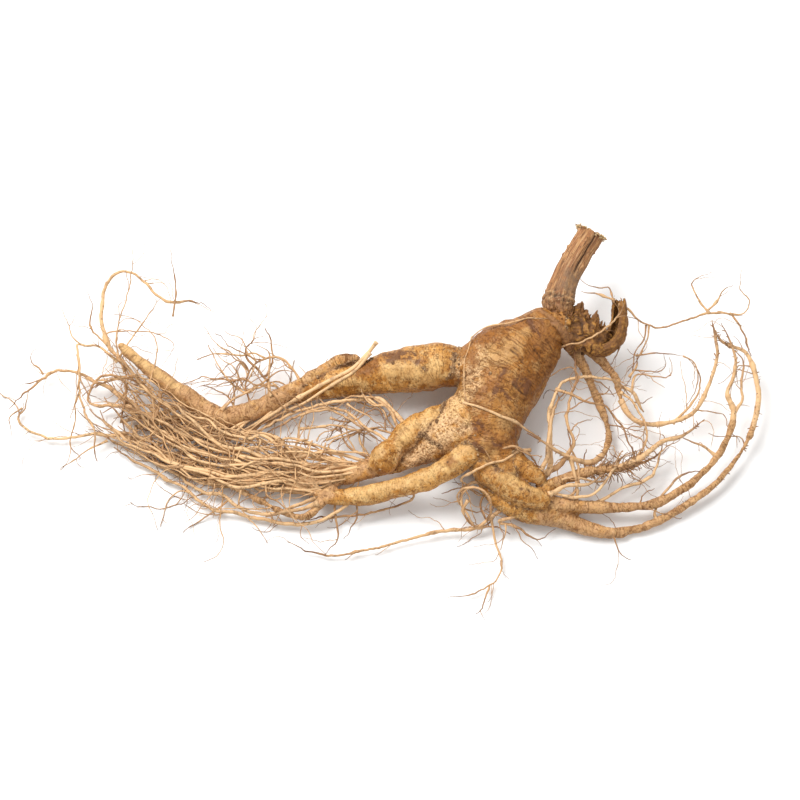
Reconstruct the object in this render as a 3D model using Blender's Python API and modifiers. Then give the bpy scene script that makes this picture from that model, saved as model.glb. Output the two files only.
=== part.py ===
"""A fresh ginseng root with its dead stalk, lying on its belly.

The root is one grown body: a trunk with a forked pair of hips, a long arm to the left, short legs,
thin tapering legs to the right, a rough neck with a hollow horn at the crown, and rootlets that trail
from all of them. The stalk is a piece of its own, let into the crown.

Routes are in millimetres, as (x, y, height, radius) along a centre line. The origin is the middle of the
flat spot under the belly, +X runs to the right of the root and +Y towards the stalk.
"""

import math
import random

import bmesh
import bpy
from mathutils import Vector, noise

MM = 0.001

# Sizes in millimetres
FLESH_SPACING = 2.5
FLESH_SIDES = 12
FLESH_VOXEL = 1.15
DOME_ANGLES = (35, 62, 82)
FLESH_TRIANGLES = 3000
LUMP_HEIGHT = 0.7
LUMP_SIZE = 9.0
THIN_FROM = 2.3
TAIL_SPACING = 8.0
TAIL_SIDES = 5
ROOTLET_SPACING = 9.5
ROOTLET_SIDES = 3
ROOTLET_LEAST_RADIUS = 0.5
SURFACE_CLEARANCE = 0.15
FITTING_GAP = 0.3
WELD = 0.000001

BUNCH_SEED = 7
BUNCH_STRANDS = 21
BUNCH_SPACING = 11.0
BUNCH_STEPS = 6
BUNCH_LEAD = 22
BUNCH_LAYER = 3.4
BUNCH_LOWEST = -2.0
BUNCH_DRIFT = 0.06
BUNCH_SWAY = 0.9

# The swollen members of the root, each from its thick end
FLESH = {
    "trunk": [(21, 19.5, 22.5, 8.8), (16.5, 17.5, 21.5, 11.5), (11, 13, 19, 14.2), (3, 4.5, 16.6, 17.2),
              (-4, -7.5, 15.8, 17.2), (-9, -19, 15.4, 16.3), (-10.5, -29.5, 16, 14.6)],
    "shoulder": [(13, 15.5, 19, 10.5), (-1.5, 9.5, 17, 13.5), (-12.5, 2.5, 16.5, 12.5)],
    "arm": [(-12.5, 3, 16.5, 9.5), (-21, 2.5, 16.5, 8.4), (-29.5, 3.5, 16.5, 10.2),
            (-38.5, 2.5, 15.5, 10.4), (-48.5, 2, 14, 9.9), (-57, 0.5, 12.5, 8.6), (-66, -1.5, 10.5, 6.8),
            (-76, -3, 8.5, 5.6), (-86.5, -3.5, 6.8, 5.4), (-96, -6, 5.2, 5), (-107, -11, 4.1, 4.6),
            (-118, -14.5, 4, 4.5), (-126.5, -16.5, 4.2, 4.3), (-133, -13.5, 5, 3.8), (-140, -8.5, 6, 3.2),
            (-149, -2.5, 8, 2.9), (-157.5, 3.5, 10.5, 2.6), (-164.5, 9, 12.5, 2.2),
            (-170.5, 13.5, 14.5, 1.4)],
    "arm_rider": [(-68.5, 9, 14, 1.6), (-76, 6, 12.5, 3), (-83.5, 3, 10.5, 3.5), (-91.5, -0.5, 8.5, 3.5),
                  (-99.5, -5, 7, 3.2)],
    "belly_lobe": [(-18, -23, 16, 13.5), (-25.5, -28, 14.5, 11), (-32, -32, 12.5, 8.2),
                   (-38, -35, 10.5, 5.8), (-45, -39, 9.5, 3.4), (-52, -42, 8, 2.2)],
    "middle_leg": [(-27, -18.5, 15, 5), (-34.5, -21.5, 15.5, 5.6), (-42.5, -26.5, 15, 6.2),
                   (-49, -33, 14, 6.8), (-55, -38.5, 13, 6.6), (-59.5, -40.5, 12, 4.8), (-66, -41, 11, 3.4),
                   (-72, -39.5, 10, 2.6)],
    "middle_toe": [(-53.5, -41, 10.5, 4), (-62.5, -42.5, 9.5, 4.1), (-69.5, -44, 8.5, 4.2),
                   (-76, -45.5, 7.5, 3.5), (-81.5, -47, 7, 2.5)],
    "front_leg": [(-13, -32, 21, 5.5), (-17.5, -38.5, 21.5, 5.9), (-24.5, -43.5, 19.5, 6.2),
                  (-33, -48, 17, 6.1), (-41.5, -50.5, 14.5, 5.8), (-51, -52.5, 12.5, 5.4),
                  (-61.5, -54.5, 10.5, 5), (-70.5, -55, 9, 4.6), (-77.5, -54.5, 8, 3.6),
                  (-83, -53, 7.5, 2.5)],
    "hip": [(-10, -28.5, 16, 13.8), (-5.5, -37, 15.5, 10.6), (-3.5, -43, 15, 9)],
    "hip_thumb": [(-8, -44, 17, 6.4), (-3, -49.5, 16.5, 6.9), (4.5, -53, 15.5, 6.7), (11, -54, 14, 5.9),
                  (16, -54, 12.5, 4.6)],
    "hip_knob": [(-1.5, -38.5, 15, 7.2), (4.5, -40.5, 13.5, 6.4), (9, -43, 12, 5), (13, -45.5, 10.5, 3.2)],
    "right_leg": [(-10, -44.5, 12, 6), (-7, -52, 11, 5.5), (-1.5, -57.5, 9.5, 5.3), (7, -61, 8, 5.6),
                  (16, -62, 6.5, 5.5), (25, -64.5, 5.2, 4.8), (35, -67.5, 3.8, 4.1), (44.5, -69, 3.1, 3.5),
                  (55, -67.5, 3.2, 2.9), (67, -63, 4, 2.6), (79, -56, 5, 2.4), (90, -48, 6, 2.3),
                  (100, -36, 7, 2.2), (107, -23.5, 8.5, 2), (110, -11, 10, 1.8), (109.5, -1, 11, 1.6),
                  (107, 7, 12, 1.3), (103.5, 12, 13, 1), (97, 14.5, 13.5, 0.9), (92.5, 18.5, 14, 0.8),
                  (90.5, 25.5, 15, 0.6)],
    "second_right_leg": [(9, -55, 11, 3.5), (17, -57, 9.5, 3.8), (25.5, -58.5, 8.5, 4), (36, -59, 7.5, 4.1),
                         (48.5, -59, 7, 3.6), (62, -57.5, 7, 3.3), (75.5, -51, 8, 3.1), (85.5, -42.5, 9, 3),
                         (93, -33.5, 10, 2.8), (97.5, -24, 11.5, 2.4), (98.5, -16, 12.5, 2.1),
                         (96, -8.5, 13.5, 1.4), (99, -0.5, 14.5, 1.1), (100, 7.5, 15.5, 0.9),
                         (97, 17, 17, 0.7), (94, 23, 18, 0.5)],
    "third_right_leg": [(14, -53, 12.5, 3), (22, -49, 13, 3), (31, -45.5, 13, 2.9), (39.5, -43.5, 12.5, 2.7),
                        (47.5, -42.5, 12, 2.3), (57, -38, 12, 1.9), (67, -30.5, 12.5, 1.6),
                        (75.5, -28, 13, 1.3), (85.5, -21, 14, 0.8)],
    "neck": [(20, 20.5, 22.5, 8), (28.5, 19.5, 23, 6.8), (35, 18, 22, 6.4), (40.5, 16, 20.5, 5.2),
             (43.5, 14.5, 19.5, 3.6)],
    "horn": [(39, 13, 17.5, 4), (45, 15.5, 18.5, 4.3), (47.5, 20.5, 21, 4.1), (48, 26, 24, 3.5),
             (48.5, 30.5, 27, 2.6)],
    "crown_root": [(28, 15, 18, 3.2), (37, 10.5, 15, 2.9), (42.5, 5.5, 13, 2.7), (47.5, -1, 11, 2.2),
                   (49.5, -10, 9.5, 1.9), (53, -17, 9, 1.7), (60, -21, 9, 1.5), (71, -20.5, 9.5, 1.5),
                   (82, -15.5, 11, 1.4), (87.5, -5.5, 13, 1.2), (91.5, 5.5, 15, 1.1), (91.5, 15.5, 16.5, 1),
                   (90, 23.5, 18, 0.7)],
    "second_crown_root": [(26.5, 13.5, 16, 3), (31, 9.5, 12.5, 2.8), (35.5, 0.5, 8.5, 2.6),
                          (40, -9.5, 6, 2.5), (43.5, -20, 5.2, 2.4), (44, -27.5, 6, 2.2),
                          (41, -35.5, 8.5, 1.9), (35.5, -40, 12, 1.7), (26.5, -40, 18, 1.5),
                          (16.5, -36, 24, 1.2), (7.5, -32, 28, 1)],
    "kinked_toe": [(-74.5, -45.5, 8, 2.4), (-78.5, -51.5, 8.4, 2.6), (-82.5, -57.5, 8.2, 2.6),
                   (-86, -62, 7.8, 2.5), (-89.5, -63.5, 7.4, 2.1), (-96, -62, 7, 1.9),
                   (-105, -57.5, 6.4, 1.9), (-114, -52.5, 5.8, 1.8), (-123.5, -47, 5.2, 1.7),
                   (-133.5, -43, 4.8, 1.6), (-144, -37.5, 4.5, 1.5), (-155, -32, 4.2, 1.3),
                   (-166, -27, 4, 1), (-176, -23, 4, 0.8)],
}

# The rootlets of the fan at the far left
LEFT_FAN = [
    [(-157, -6.5, 7, 1.2), (-167.5, 5, 9, 1.2), (-174.5, 13, 11, 1.3), (-178.5, 19.5, 12.5, 1.3),
     (-179.5, 27, 13.5, 1.3), (-179, 35, 14.5, 1.2), (-177.5, 43, 15.5, 1.1), (-171.5, 48.5, 16, 1),
     (-165.5, 47, 16, 0.9), (-159, 41.5, 15, 0.9), (-154, 36, 14, 0.9), (-149, 34.5, 13, 1.1),
     (-140.5, 36, 12, 0.7), (-131, 32.5, 10, 0.4)],
    [(-156.5, -20.5, 5, 1.2), (-166.5, -10, 6, 1.8), (-173, -5.5, 7, 1.6), (-180.5, -1.5, 7.5, 1.2),
     (-189.5, 3, 7.5, 1), (-199.5, 4.5, 6.5, 1), (-206.5, 0, 5.5, 0.9), (-213, -5.5, 5, 0.8),
     (-220, -12.5, 4.5, 0.5)],
    [(-161, -26.5, 4, 1.2), (-170.5, -25, 4, 1.2), (-181.5, -24, 4, 1.1), (-192.5, -25.5, 3.6, 0.9),
     (-202.5, -25.5, 3.4, 0.9), (-210.5, -21.5, 3.4, 0.8), (-216, -17, 3.6, 0.8), (-212.5, -10.5, 4, 0.7),
     (-211.5, -4.5, 4.6, 0.6)],
    [(-163.5, -12, 6, 1.6), (-174, -11.5, 7, 1.2), (-180.5, -12, 8, 0.9), (-184.5, -9.5, 8.5, 0.8),
     (-183.5, -4.5, 9.5, 0.8), (-180.5, 0, 10.5, 0.8), (-175.5, 1, 11, 0.8), (-170.5, 0, 10.5, 0.8),
     (-168, -4, 9, 0.8), (-169.5, -14, 7, 0.9), (-169, -23.5, 5, 0.9)],
    [(-172, 7.5, 10.5, 0.9), (-180, 13.5, 12, 0.8), (-185.5, 14, 12.5, 0.8), (-190, 14.5, 12.5, 0.8),
     (-189, 9.5, 12, 0.8), (-188.5, 3, 11, 0.8), (-189, -4, 9, 0.7), (-187, -11.5, 7, 0.7),
     (-184, -18, 5.5, 0.7), (-178, -23, 4.5, 0.7)],
    [(-169, 3, 9.5, 0.5), (-172, 11.5, 12, 0.5), (-172.5, 19, 14, 0.5), (-170.5, 28.5, 16, 0.4),
     (-167, 40.5, 19, 0.4), (-165.5, 50.5, 21, 0.35), (-166.5, 58.5, 23, 0.3)],
    [(-171, 10, 11, 0.5), (-166.5, 17, 12.5, 0.5), (-161, 25, 13.5, 0.5), (-156, 32.5, 14, 0.45),
     (-153.5, 36, 14, 0.4)],
    [(-175.5, 12.5, 11.5, 0.5), (-178, 18.5, 12.5, 0.5), (-173, 20.5, 13.5, 0.45), (-162.5, 20.5, 13.5, 0.4),
     (-153.5, 19, 12.5, 0.35), (-147.5, 14.5, 11, 0.3), (-152.5, 6, 9, 0.3)],
    [(-174.5, 12, 11, 0.7), (-178.5, 16.5, 12.5, 0.6), (-184, 22.5, 14.5, 0.6), (-183.5, 30.5, 17, 0.5),
     (-185.5, 37.5, 19, 0.35)],
    [(-153, -6, 8, 1), (-154, -14, 8, 1), (-156, -21, 7, 0.9), (-156, -28, 5, 0.9), (-153, -35, 3.6, 0.8)],
]

# The rootlets along the front edge of the left bunch, and those that hang under the front leg
FRONT_EDGE = [
    [(-68.5, -56, 8, 1.2), (-76, -61.5, 6.5, 1.2), (-86, -65, 5, 1.2), (-95.5, -65.5, 4, 1.3),
     (-107.5, -63, 3.6, 1.2), (-119.5, -60.5, 3.2, 1.2), (-129.5, -58.5, 3, 1.1), (-136.5, -53.5, 3, 1.1),
     (-144.5, -47, 3, 1), (-155, -41.5, 3, 1), (-166, -35, 3, 0.9), (-174, -29.5, 3.2, 0.7)],
    [(-81.5, -53.5, 7, 1.5), (-91, -56.5, 5.6, 1.3), (-99, -59.5, 5, 1.3), (-107.5, -61, 4.6, 1.2),
     (-117.5, -57.5, 4.2, 1.2), (-125, -52.5, 4, 1.2), (-135, -50, 3.6, 1.1), (-148.5, -40.5, 3.4, 1),
     (-161.5, -32, 3.4, 0.8)],
    [(-42.5, -52, 15, 0.7), (-41.5, -55.5, 12, 0.7), (-45.5, -57.5, 8, 0.7), (-56, -60, 6, 0.7),
     (-67, -62, 5, 0.7), (-80, -62.5, 4.6, 0.7), (-90, -64.5, 4.2, 0.6)],
    [(-68.5, -54, 9, 0.7), (-66.5, -58, 7.5, 0.6), (-66, -62, 5.5, 0.6), (-69.5, -68.5, 4, 0.5),
     (-72, -72, 3, 0.4)],
    [(-75, -54.5, 8, 0.8), (-76, -59, 6, 0.8), (-75, -66, 4.5, 0.7), (-74.5, -72.5, 3.4, 0.6),
     (-80.5, -78.5, 2.8, 0.5)],
]

# The rootlets that cross the gap between the arm and the middle leg, and the tuft above the arm
ARM_TUFT = [
    [(-44, -25, 14, 1.7), (-50.5, -16, 13, 1.6), (-56.5, -10.5, 12, 1.4), (-68.5, -10, 10, 1.3),
     (-80.5, -11.5, 9, 1.1), (-91.5, -14.5, 8, 1), (-101, -18.5, 7, 0.9), (-111, -23, 6, 0.8),
     (-122, -24.5, 6, 0.7)],
    [(-50, -35, 14, 1), (-54.5, -30, 15, 1), (-63, -24.5, 13.5, 1), (-71.5, -16, 11, 0.9),
     (-80.5, -14, 10, 0.9), (-89, -16, 9, 0.8), (-99.5, -21, 8, 0.8), (-108, -25, 7, 0.7)],
    [(-47.5, -26.5, 14, 1), (-52.5, -16.5, 15, 1), (-59, -10.5, 14, 0.9), (-64, -6.5, 12, 0.8),
     (-66, -3, 10, 0.8)],
    [(-48, -28, 13, 0.8), (-58.5, -24, 11.5, 0.7), (-67, -25, 10, 0.6), (-74.5, -28.5, 9, 0.6),
     (-80.5, -31, 8.5, 0.5)],
    [(-59.5, -38, 11, 0.8), (-68.5, -33, 9.5, 0.7), (-71.5, -29, 9, 0.6), (-74.5, -22, 8, 0.6),
     (-78, -26, 7, 0.5), (-81.5, -29, 7, 0.4)],
    [(-78.5, -6.5, 7, 1.2), (-87, -9, 6, 1.1), (-95, -12.5, 5.5, 1), (-102.5, -16.5, 5, 0.9),
     (-108, -20, 5, 0.8), (-118, -25.5, 5, 0.7), (-128.5, -27.5, 5.5, 0.7)],
    [(-91.5, -0.5, 8, 0.8), (-96, 5.5, 10, 0.8), (-101.5, 9.5, 11.5, 0.8), (-107, 8.5, 12.5, 0.7),
     (-111.5, 5, 12.5, 0.6), (-115.5, -1, 11, 0.6), (-119.5, -7, 9, 0.4)],
    [(-105.5, -10, 7, 0.9), (-105.5, -1.5, 10, 0.8), (-110, 3.5, 11.5, 0.8), (-114, 7.5, 12.5, 0.8),
     (-116, 12, 13.5, 0.6), (-113, 14.5, 14, 0.5), (-111, 17.5, 14.5, 0.5), (-107.5, 18, 15, 0.4)],
    [(-113, -12.5, 6, 0.7), (-115.5, -4, 9, 0.6), (-114.5, 3.5, 10.5, 0.6), (-118, 7, 11, 0.5),
     (-120, 2, 11, 0.5), (-126.5, 0, 10, 0.4)],
    [(-119.5, -14, 6, 0.7), (-123, -8.5, 8, 0.5), (-128.5, -5, 9, 0.5), (-134, -3, 9, 0.4)],
    [(-99, -6.5, 7, 0.6), (-104, -2, 9.5, 0.5), (-110, -4.5, 10.5, 0.5), (-116.5, 0, 10.5, 0.4),
     (-123, -3.5, 9, 0.4)],
]

# The loops and trailers under the hips
HIP_LOOPS = [
    [(-0.5, -57, 11, 1.1), (-6.5, -52, 12.5, 1), (-13.5, -49.5, 13, 1), (-19.5, -52, 12.5, 0.9),
     (-21, -57, 11, 0.9), (-18.5, -62.5, 8, 0.8), (-13.5, -68, 5.5, 0.8), (-7.5, -64, 5, 0.7),
     (-4, -59, 7, 0.7)],
    [(1, -60.5, 9, 1.1), (-4, -55.5, 10.5, 1), (-9, -53, 10.5, 0.9), (-12.5, -57.5, 9, 0.9),
     (-11, -63.5, 7, 0.9), (-8.5, -67, 5, 0.8)],
    [(-2, -59.5, 9, 1.3), (-8, -63.5, 7, 1.2), (-14.5, -67.5, 5.2, 1.2), (-25.5, -68.5, 4.2, 1.1),
     (-39, -71, 3.6, 1), (-49.5, -73.5, 3.2, 0.9), (-64, -77.5, 3, 0.8), (-77, -79, 2.8, 0.7),
     (-88.5, -77, 2.6, 0.6), (-97, -72.5, 2.6, 0.5)],
    [(-8, -63.5, 6.5, 0.8), (-5.5, -75, 3.4, 0.7), (-3, -83, 3, 0.6), (-5.5, -90.5, 2.8, 0.6),
     (-15, -96, 2.6, 0.5), (-26.5, -98, 2.4, 0.4)],
    [(6, -54.5, 14, 1.3), (6, -60.5, 11, 1.2), (1, -64, 9.5, 1.1), (-4.5, -65.5, 7.5, 1),
     (4.5, -68.5, 6, 0.8), (12, -72.5, 4.6, 0.6), (20, -68, 4, 0.4)],
    [(9, -36, 17, 0.9), (4.5, -37.5, 21, 0.9), (-2, -42.5, 24, 0.8), (-9.5, -45, 24.5, 0.8),
     (-16.5, -48, 22, 0.8), (-21, -49.5, 18, 0.7), (-17, -52, 14, 0.7), (-9, -55.5, 10, 0.7)],
]

# The rootlets to the right, between the hips, the neck and the tips of the right legs
RIGHT_SIDE = [
    [(14, -46.5, 11, 2.2), (17.5, -43.5, 13, 2.2), (18, -37.5, 15, 1.9), (18, -29, 16.5, 1.6),
     (17.5, -20, 17.5, 1.3), (20, -11.5, 18.5, 1.1), (24, -5, 19, 1), (32, -2.5, 18, 1), (43, -2.5, 16, 0.9),
     (50, -5, 14, 0.8), (53.5, -8.5, 12, 0.7)],
    [(12.5, -46.5, 10, 2), (20.5, -42, 12, 1.9), (24.5, -38.5, 14.5, 1.6), (28, -31.5, 17, 1.2),
     (25, -23.5, 18.5, 1), (27, -12, 19.5, 0.9), (29.5, -2.5, 19, 0.8), (29, 13, 18, 0.8)],
    [(26.5, -40, 18, 1.1), (29, -49.5, 15, 1.1), (29.5, -58, 10, 1), (29, -62.5, 7, 1)],
    [(20.5, -8.5, 19, 0.9), (26.5, -11, 20, 0.9), (35.5, -14.5, 19, 0.8), (42.5, -15.5, 17.5, 0.7),
     (47.5, -21.5, 15, 0.7), (52, -30, 13, 0.6), (54, -35.5, 11.5, 0.5), (48.5, -40.5, 10, 0.4)],
    [(49.5, -7, 11, 0.8), (55, -12, 12, 0.8), (59, -20.5, 12.5, 0.7), (60, -29.5, 12, 0.7),
     (55.5, -37.5, 12, 0.6), (49, -42.5, 12, 0.5)],
    [(48, -3.5, 11.5, 1.2), (54.5, -8, 13, 1.2), (57.5, -13, 13, 1.6), (59, -17, 12, 0.9)],
    [(14, -53, 12.5, 1), (28.5, -56, 12, 1), (37.5, -54, 12.5, 0.9), (43, -47.5, 13, 0.9),
     (48, -39.5, 13, 0.8), (57, -34, 12, 0.5)],
    [(39, -44, 12, 1.5), (50, -42.5, 10, 1.4), (58.5, -38.5, 8, 1), (65, -35, 7, 0.9), (67.5, -29, 8, 0.7)],
    [(38.5, -57, 8, 1), (49.5, -50.5, 8, 1), (60.5, -47, 9, 1.2), (64, -42, 10, 0.9), (67, -34, 11, 0.6),
     (75, -29.5, 12, 0.4)],
    [(64, -57.5, 7.5, 0.9), (69, -51, 9.5, 0.8), (76, -45, 10.5, 0.8), (83.5, -43, 10, 0.6)],
    [(91.5, -37, 9.5, 1.2), (87, -34, 11, 0.9), (79, -29.5, 12, 0.6), (73, -27, 12.5, 0.4)],
    [(98.5, -18, 12, 1), (102.5, -10.5, 13, 0.9), (102.5, -2.5, 14, 0.8), (103, 6.5, 15, 0.6),
     (98, 13, 17, 0.5)],
    [(72, -21, 9.5, 0.9), (79.5, -13.5, 11, 0.8), (83.5, -8, 12, 0.6), (84.5, -1, 13, 0.5),
     (82, 4.5, 13.5, 0.4), (78, 9, 14, 0.35)],
    [(54, -7.5, 12.5, 0.7), (56, 0, 13, 0.6), (62.5, -0.5, 14, 0.5), (69, -1.5, 15, 0.45),
     (72.5, 2.5, 15.5, 0.4), (70.5, 7.5, 16, 0.35)],
    [(48.3, 28.5, 26, 0.8), (52.5, 27, 24, 0.8), (58.5, 22, 22, 0.6), (67.5, 20, 20, 0.6),
     (79.5, 24.5, 18, 0.7), (89.5, 28.5, 17, 0.8), (98.5, 28, 16, 0.8), (103.5, 20, 15, 0.7),
     (107, 9, 12.5, 0.7)],
    [(89, 28, 17, 0.7), (83, 35.5, 18.5, 0.6), (81.5, 41, 19.5, 0.5), (85.5, 44.5, 20.5, 0.4),
     (91, 46, 21.5, 0.3)],
    [(98, 28, 16, 0.7), (104.5, 28, 17, 0.5), (106.5, 33.5, 18, 0.45), (103, 38.5, 19, 0.4),
     (103, 47.5, 21, 0.3)],
    [(25, 13.5, 18, 0.9), (35, 11, 23, 0.9), (41.5, 14, 24.5, 0.8), (46, 20, 25.5, 0.8), (49, 26.5, 27, 0.7)],
    [(64.5, -64, 4, 0.9), (63.5, -60.5, 5, 0.8), (66, -55.5, 7, 0.6)],
]

# Between these three guides the strands of the left bunch run, as (x, y, height)
BUNCH_BACK = [(-65, -37.5, 11), (-78, -32, 10), (-93.5, -29, 9), (-109.5, -27, 8), (-125.5, -24.5, 7.5),
              (-139, -16.5, 8), (-153, -7, 9), (-166.5, 4.5, 10.5), (-177.5, 16, 12)]
BUNCH_MIDDLE = [(-67.5, -41, 9.5), (-82.5, -40.5, 8.5), (-99, -41, 7), (-115.5, -41.5, 6),
                (-131.5, -38.5, 5.5), (-147, -30.5, 5.5), (-160.5, -20, 6), (-172, -9, 6.5),
                (-181.5, 0.5, 7)]
BUNCH_FRONT = [(-79, -49, 7.5), (-90.5, -50, 6.5), (-106, -49, 5), (-122.5, -48, 4), (-138.5, -44, 3.6),
               (-152.5, -37.5, 3.4), (-165, -30.5, 3.4), (-177, -25, 3.4), (-186.5, -21, 3.4)]
# Where the strands leave the flesh: the ends of the middle leg and its toe, the arm and the front leg
BUNCH_SOURCES = [(-69, -40.5, 10.5), (-79, -46.3, 7.2), (-80, -53.8, 7.8), (-50, -41, 8.6)]
ARM_SOURCES = [(-93, -5.5, 5.6), (-103, -9.5, 4.6), (-112, -13, 4.2), (-121, -15.5, 4.2), (-129, -15.5, 4.6),
               (-138, -10, 5.6)]

# The dead stalk and what it is let into
STALK = [(22.2, 23, 24, 5.6), (22.2, 26, 24.8, 6), (22, 29, 25.6, 6.9), (22.6, 32, 26.4, 7.1),
         (24, 36.5, 27.4, 6.4), (26.5, 42.5, 28.6, 6.1), (29.5, 48, 29.5, 6), (32.4, 53, 30.4, 5.8),
         (35, 57, 31, 5.9), (37, 61, 31.7, 6.2)]
STALK_SIDES = 18
STALK_SPACING = 3.2
STALK_RIBS = 5
STALK_RIB_DEPTH = 0.07
STALK_GROOVE_DEPTH = 0.3
STALK_GROOVE_WIDTH = 0.42
STALK_GROOVE_ANGLE = 1.1
SOCKET_REACH = 9.0
CARVED_FROM = 29.0
CARVED_OVER = 6.0
RIB_TWIST = 0.06
BUD_SCAR = (20.5, 31.5, 33, 1.9)
SPLINTERS = 7
SPLINTER_LENGTH = 3.2
SPLINTER_ROOT = 3.0
SPLINTER_RADII = (1.5, 1.4, 0.5)
SPLINTER_SIDES = 4
SPLINTER_SPLAY = 1.15

SKIN_COLOUR = (0.52, 0.33, 0.15, 1)
SKIN_ROUGHNESS = 0.62
STALK_COLOUR = (0.38, 0.22, 0.13, 1)
STALK_ROUGHNESS = 0.75
SHARP_ANGLE = 40


def clear_scene():
    """Remove whatever the scene holds."""
    for thing in list(bpy.data.objects):
        bpy.data.objects.remove(thing, do_unlink=True)


def new_collection(name):
    """A collection in the scene."""
    collection = bpy.data.collections.new(name)
    bpy.context.scene.collection.children.link(collection)
    return collection


def smooth_route(points, spacing):
    """Points about `spacing` apart on a smooth curve through `points`, radius included."""
    path = [Vector(point) for point in points]
    path = [2 * path[0] - path[1]] + path + [2 * path[-1] - path[-2]]
    route = []
    for before, start, end, after in zip(path, path[1:], path[2:], path[3:]):
        steps = max(1, round((end.xyz - start.xyz).length / spacing))
        for step in range(steps):
            t = step / steps
            straight = 2 * start + (end - before) * t
            curved = (2 * before - 5 * start + 4 * end - after) * t ** 2
            route.append((straight + curved + (3 * start - before - 3 * end + after) * t ** 3) / 2)
    route.append(path[-2])
    return route


def rounded_ends(route):
    """The route with each end carried on as a dome of the end's radius."""
    turns = [math.radians(angle) for angle in DOME_ANGLES]
    ends = []
    for tip, inner in ((route[0], route[1]), (route[-1], route[-2])):
        outward = (tip.xyz - inner.xyz).normalized()
        ends.append([Vector((*(tip.xyz + outward * tip.w * math.sin(turn)), tip.w * math.cos(turn)))
                     for turn in turns])
    return ends[0][::-1] + route + ends[1]


def add_object(name, mesh, collection):
    """An object for a mesh, linked to a collection."""
    thing = bpy.data.objects.new(name, mesh)
    collection.objects.link(thing)
    return thing


def polygon_profile(sides, collection):
    """A regular polygon of unit radius in millimetres, to sweep along a centre line."""
    outline = bpy.data.curves.new(f"profile_{sides}", "CURVE")
    outline.dimensions = "2D"
    ring = outline.splines.new("POLY")
    ring.points.add(sides - 1)
    for index, point in enumerate(ring.points):
        angle = 2 * math.pi * index / sides
        point.co = (MM * math.cos(angle), MM * math.sin(angle), 0, 1)
    ring.use_cyclic_u = True
    profile = add_object(f"profile_{sides}", outline, collection)
    profile.hide_render = True
    return profile


def weld(mesh, distance=WELD):
    """Weld coincident vertices and turn every face outwards."""
    shape = bmesh.new()
    shape.from_mesh(mesh)
    bmesh.ops.remove_doubles(shape, verts=shape.verts, dist=distance)
    bmesh.ops.recalc_face_normals(shape, faces=shape.faces)
    shape.to_mesh(mesh)
    shape.free()


def tube(name, route, profile, collection):
    """A closed mesh swept along a route, with the route's radius at each point."""
    line = bpy.data.curves.new(name, "CURVE")
    line.dimensions = "3D"
    line.bevel_mode = "OBJECT"
    line.bevel_object = profile
    line.use_fill_caps = True
    spline = line.splines.new("POLY")
    spline.points.add(len(route) - 1)
    for point, place in zip(spline.points, route):
        point.co = (*(place.xyz * MM), 1)
        point.radius = place.w
    guide = add_object(name, line, collection)
    mesh = bpy.data.meshes.new_from_object(guide.evaluated_get(bpy.context.evaluated_depsgraph_get()))
    bpy.data.objects.remove(guide, do_unlink=True)
    weld(mesh)
    return add_object(name, mesh, collection)


def apply_modifiers(thing):
    """Make what the modifiers show the object's own mesh."""
    graph = bpy.context.evaluated_depsgraph_get()
    thing.data = bpy.data.meshes.new_from_object(thing.evaluated_get(graph))
    thing.modifiers.clear()


def merged(name, things, collection):
    """One object that holds the faces of several, which are removed."""
    shape = bmesh.new()
    for thing in things:
        shape.from_mesh(thing.data)
        bpy.data.objects.remove(thing, do_unlink=True)
    mesh = bpy.data.meshes.new(name)
    shape.to_mesh(mesh)
    shape.free()
    return add_object(name, mesh, collection)


def boolean(thing, operation, cutters):
    """Join to or cut from an object all that a collection holds, and remove what it held."""
    modifier = thing.modifiers.new(operation.lower(), "BOOLEAN")
    modifier.operation = operation
    modifier.operand_type = "COLLECTION"
    modifier.collection = cutters
    modifier.solver = "MANIFOLD"
    apply_modifiers(thing)
    for cutter in list(cutters.objects):
        bpy.data.objects.remove(cutter, do_unlink=True)


def thick_stretch(points):
    """The part of a member's route that is thick enough to belong to the flesh."""
    thick = [point for point in points if point[3] >= THIN_FROM]
    return points[:points.index(thick[-1]) + 1]


def thin_stretch(points):
    """The tail of a member's route, which starts well inside its thick part."""
    thick = thick_stretch(points)
    return points[max(0, len(thick) - 2):] if len(thick) < len(points) else []


def raise_lumps(mesh):
    """Shallow irregular lumps over the flesh."""
    shape = bmesh.new()
    shape.from_mesh(mesh)
    for vertex in shape.verts:
        place = vertex.co / (LUMP_SIZE * MM)
        height = noise.noise(place) + 0.5 * noise.noise(2 * place)
        vertex.co += vertex.normal * height * LUMP_HEIGHT * MM
    shape.to_mesh(mesh)
    shape.free()


def flatten_underside(mesh):
    """Cut the flesh flat where it bears on the surface, at height zero."""
    shape = bmesh.new()
    shape.from_mesh(mesh)
    everything = [*shape.verts, *shape.edges, *shape.faces]
    bmesh.ops.bisect_plane(shape, geom=everything, dist=WELD, plane_co=(0, 0, 0), plane_no=(0, 0, -1),
                           clear_outer=True)
    bmesh.ops.holes_fill(shape, edges=[edge for edge in shape.edges if edge.is_boundary])
    bmesh.ops.triangulate(shape, faces=shape.faces)
    shape.to_mesh(mesh)
    shape.free()


def thin_out(thing, triangles):
    """Bring an object down to about a number of triangles, flattest places first."""
    held = sum(len(face.vertices) - 2 for face in thing.data.polygons)
    decimate = thing.modifiers.new("few_faces", "DECIMATE")
    decimate.ratio = min(triangles / held, 1)
    apply_modifiers(thing)


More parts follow.
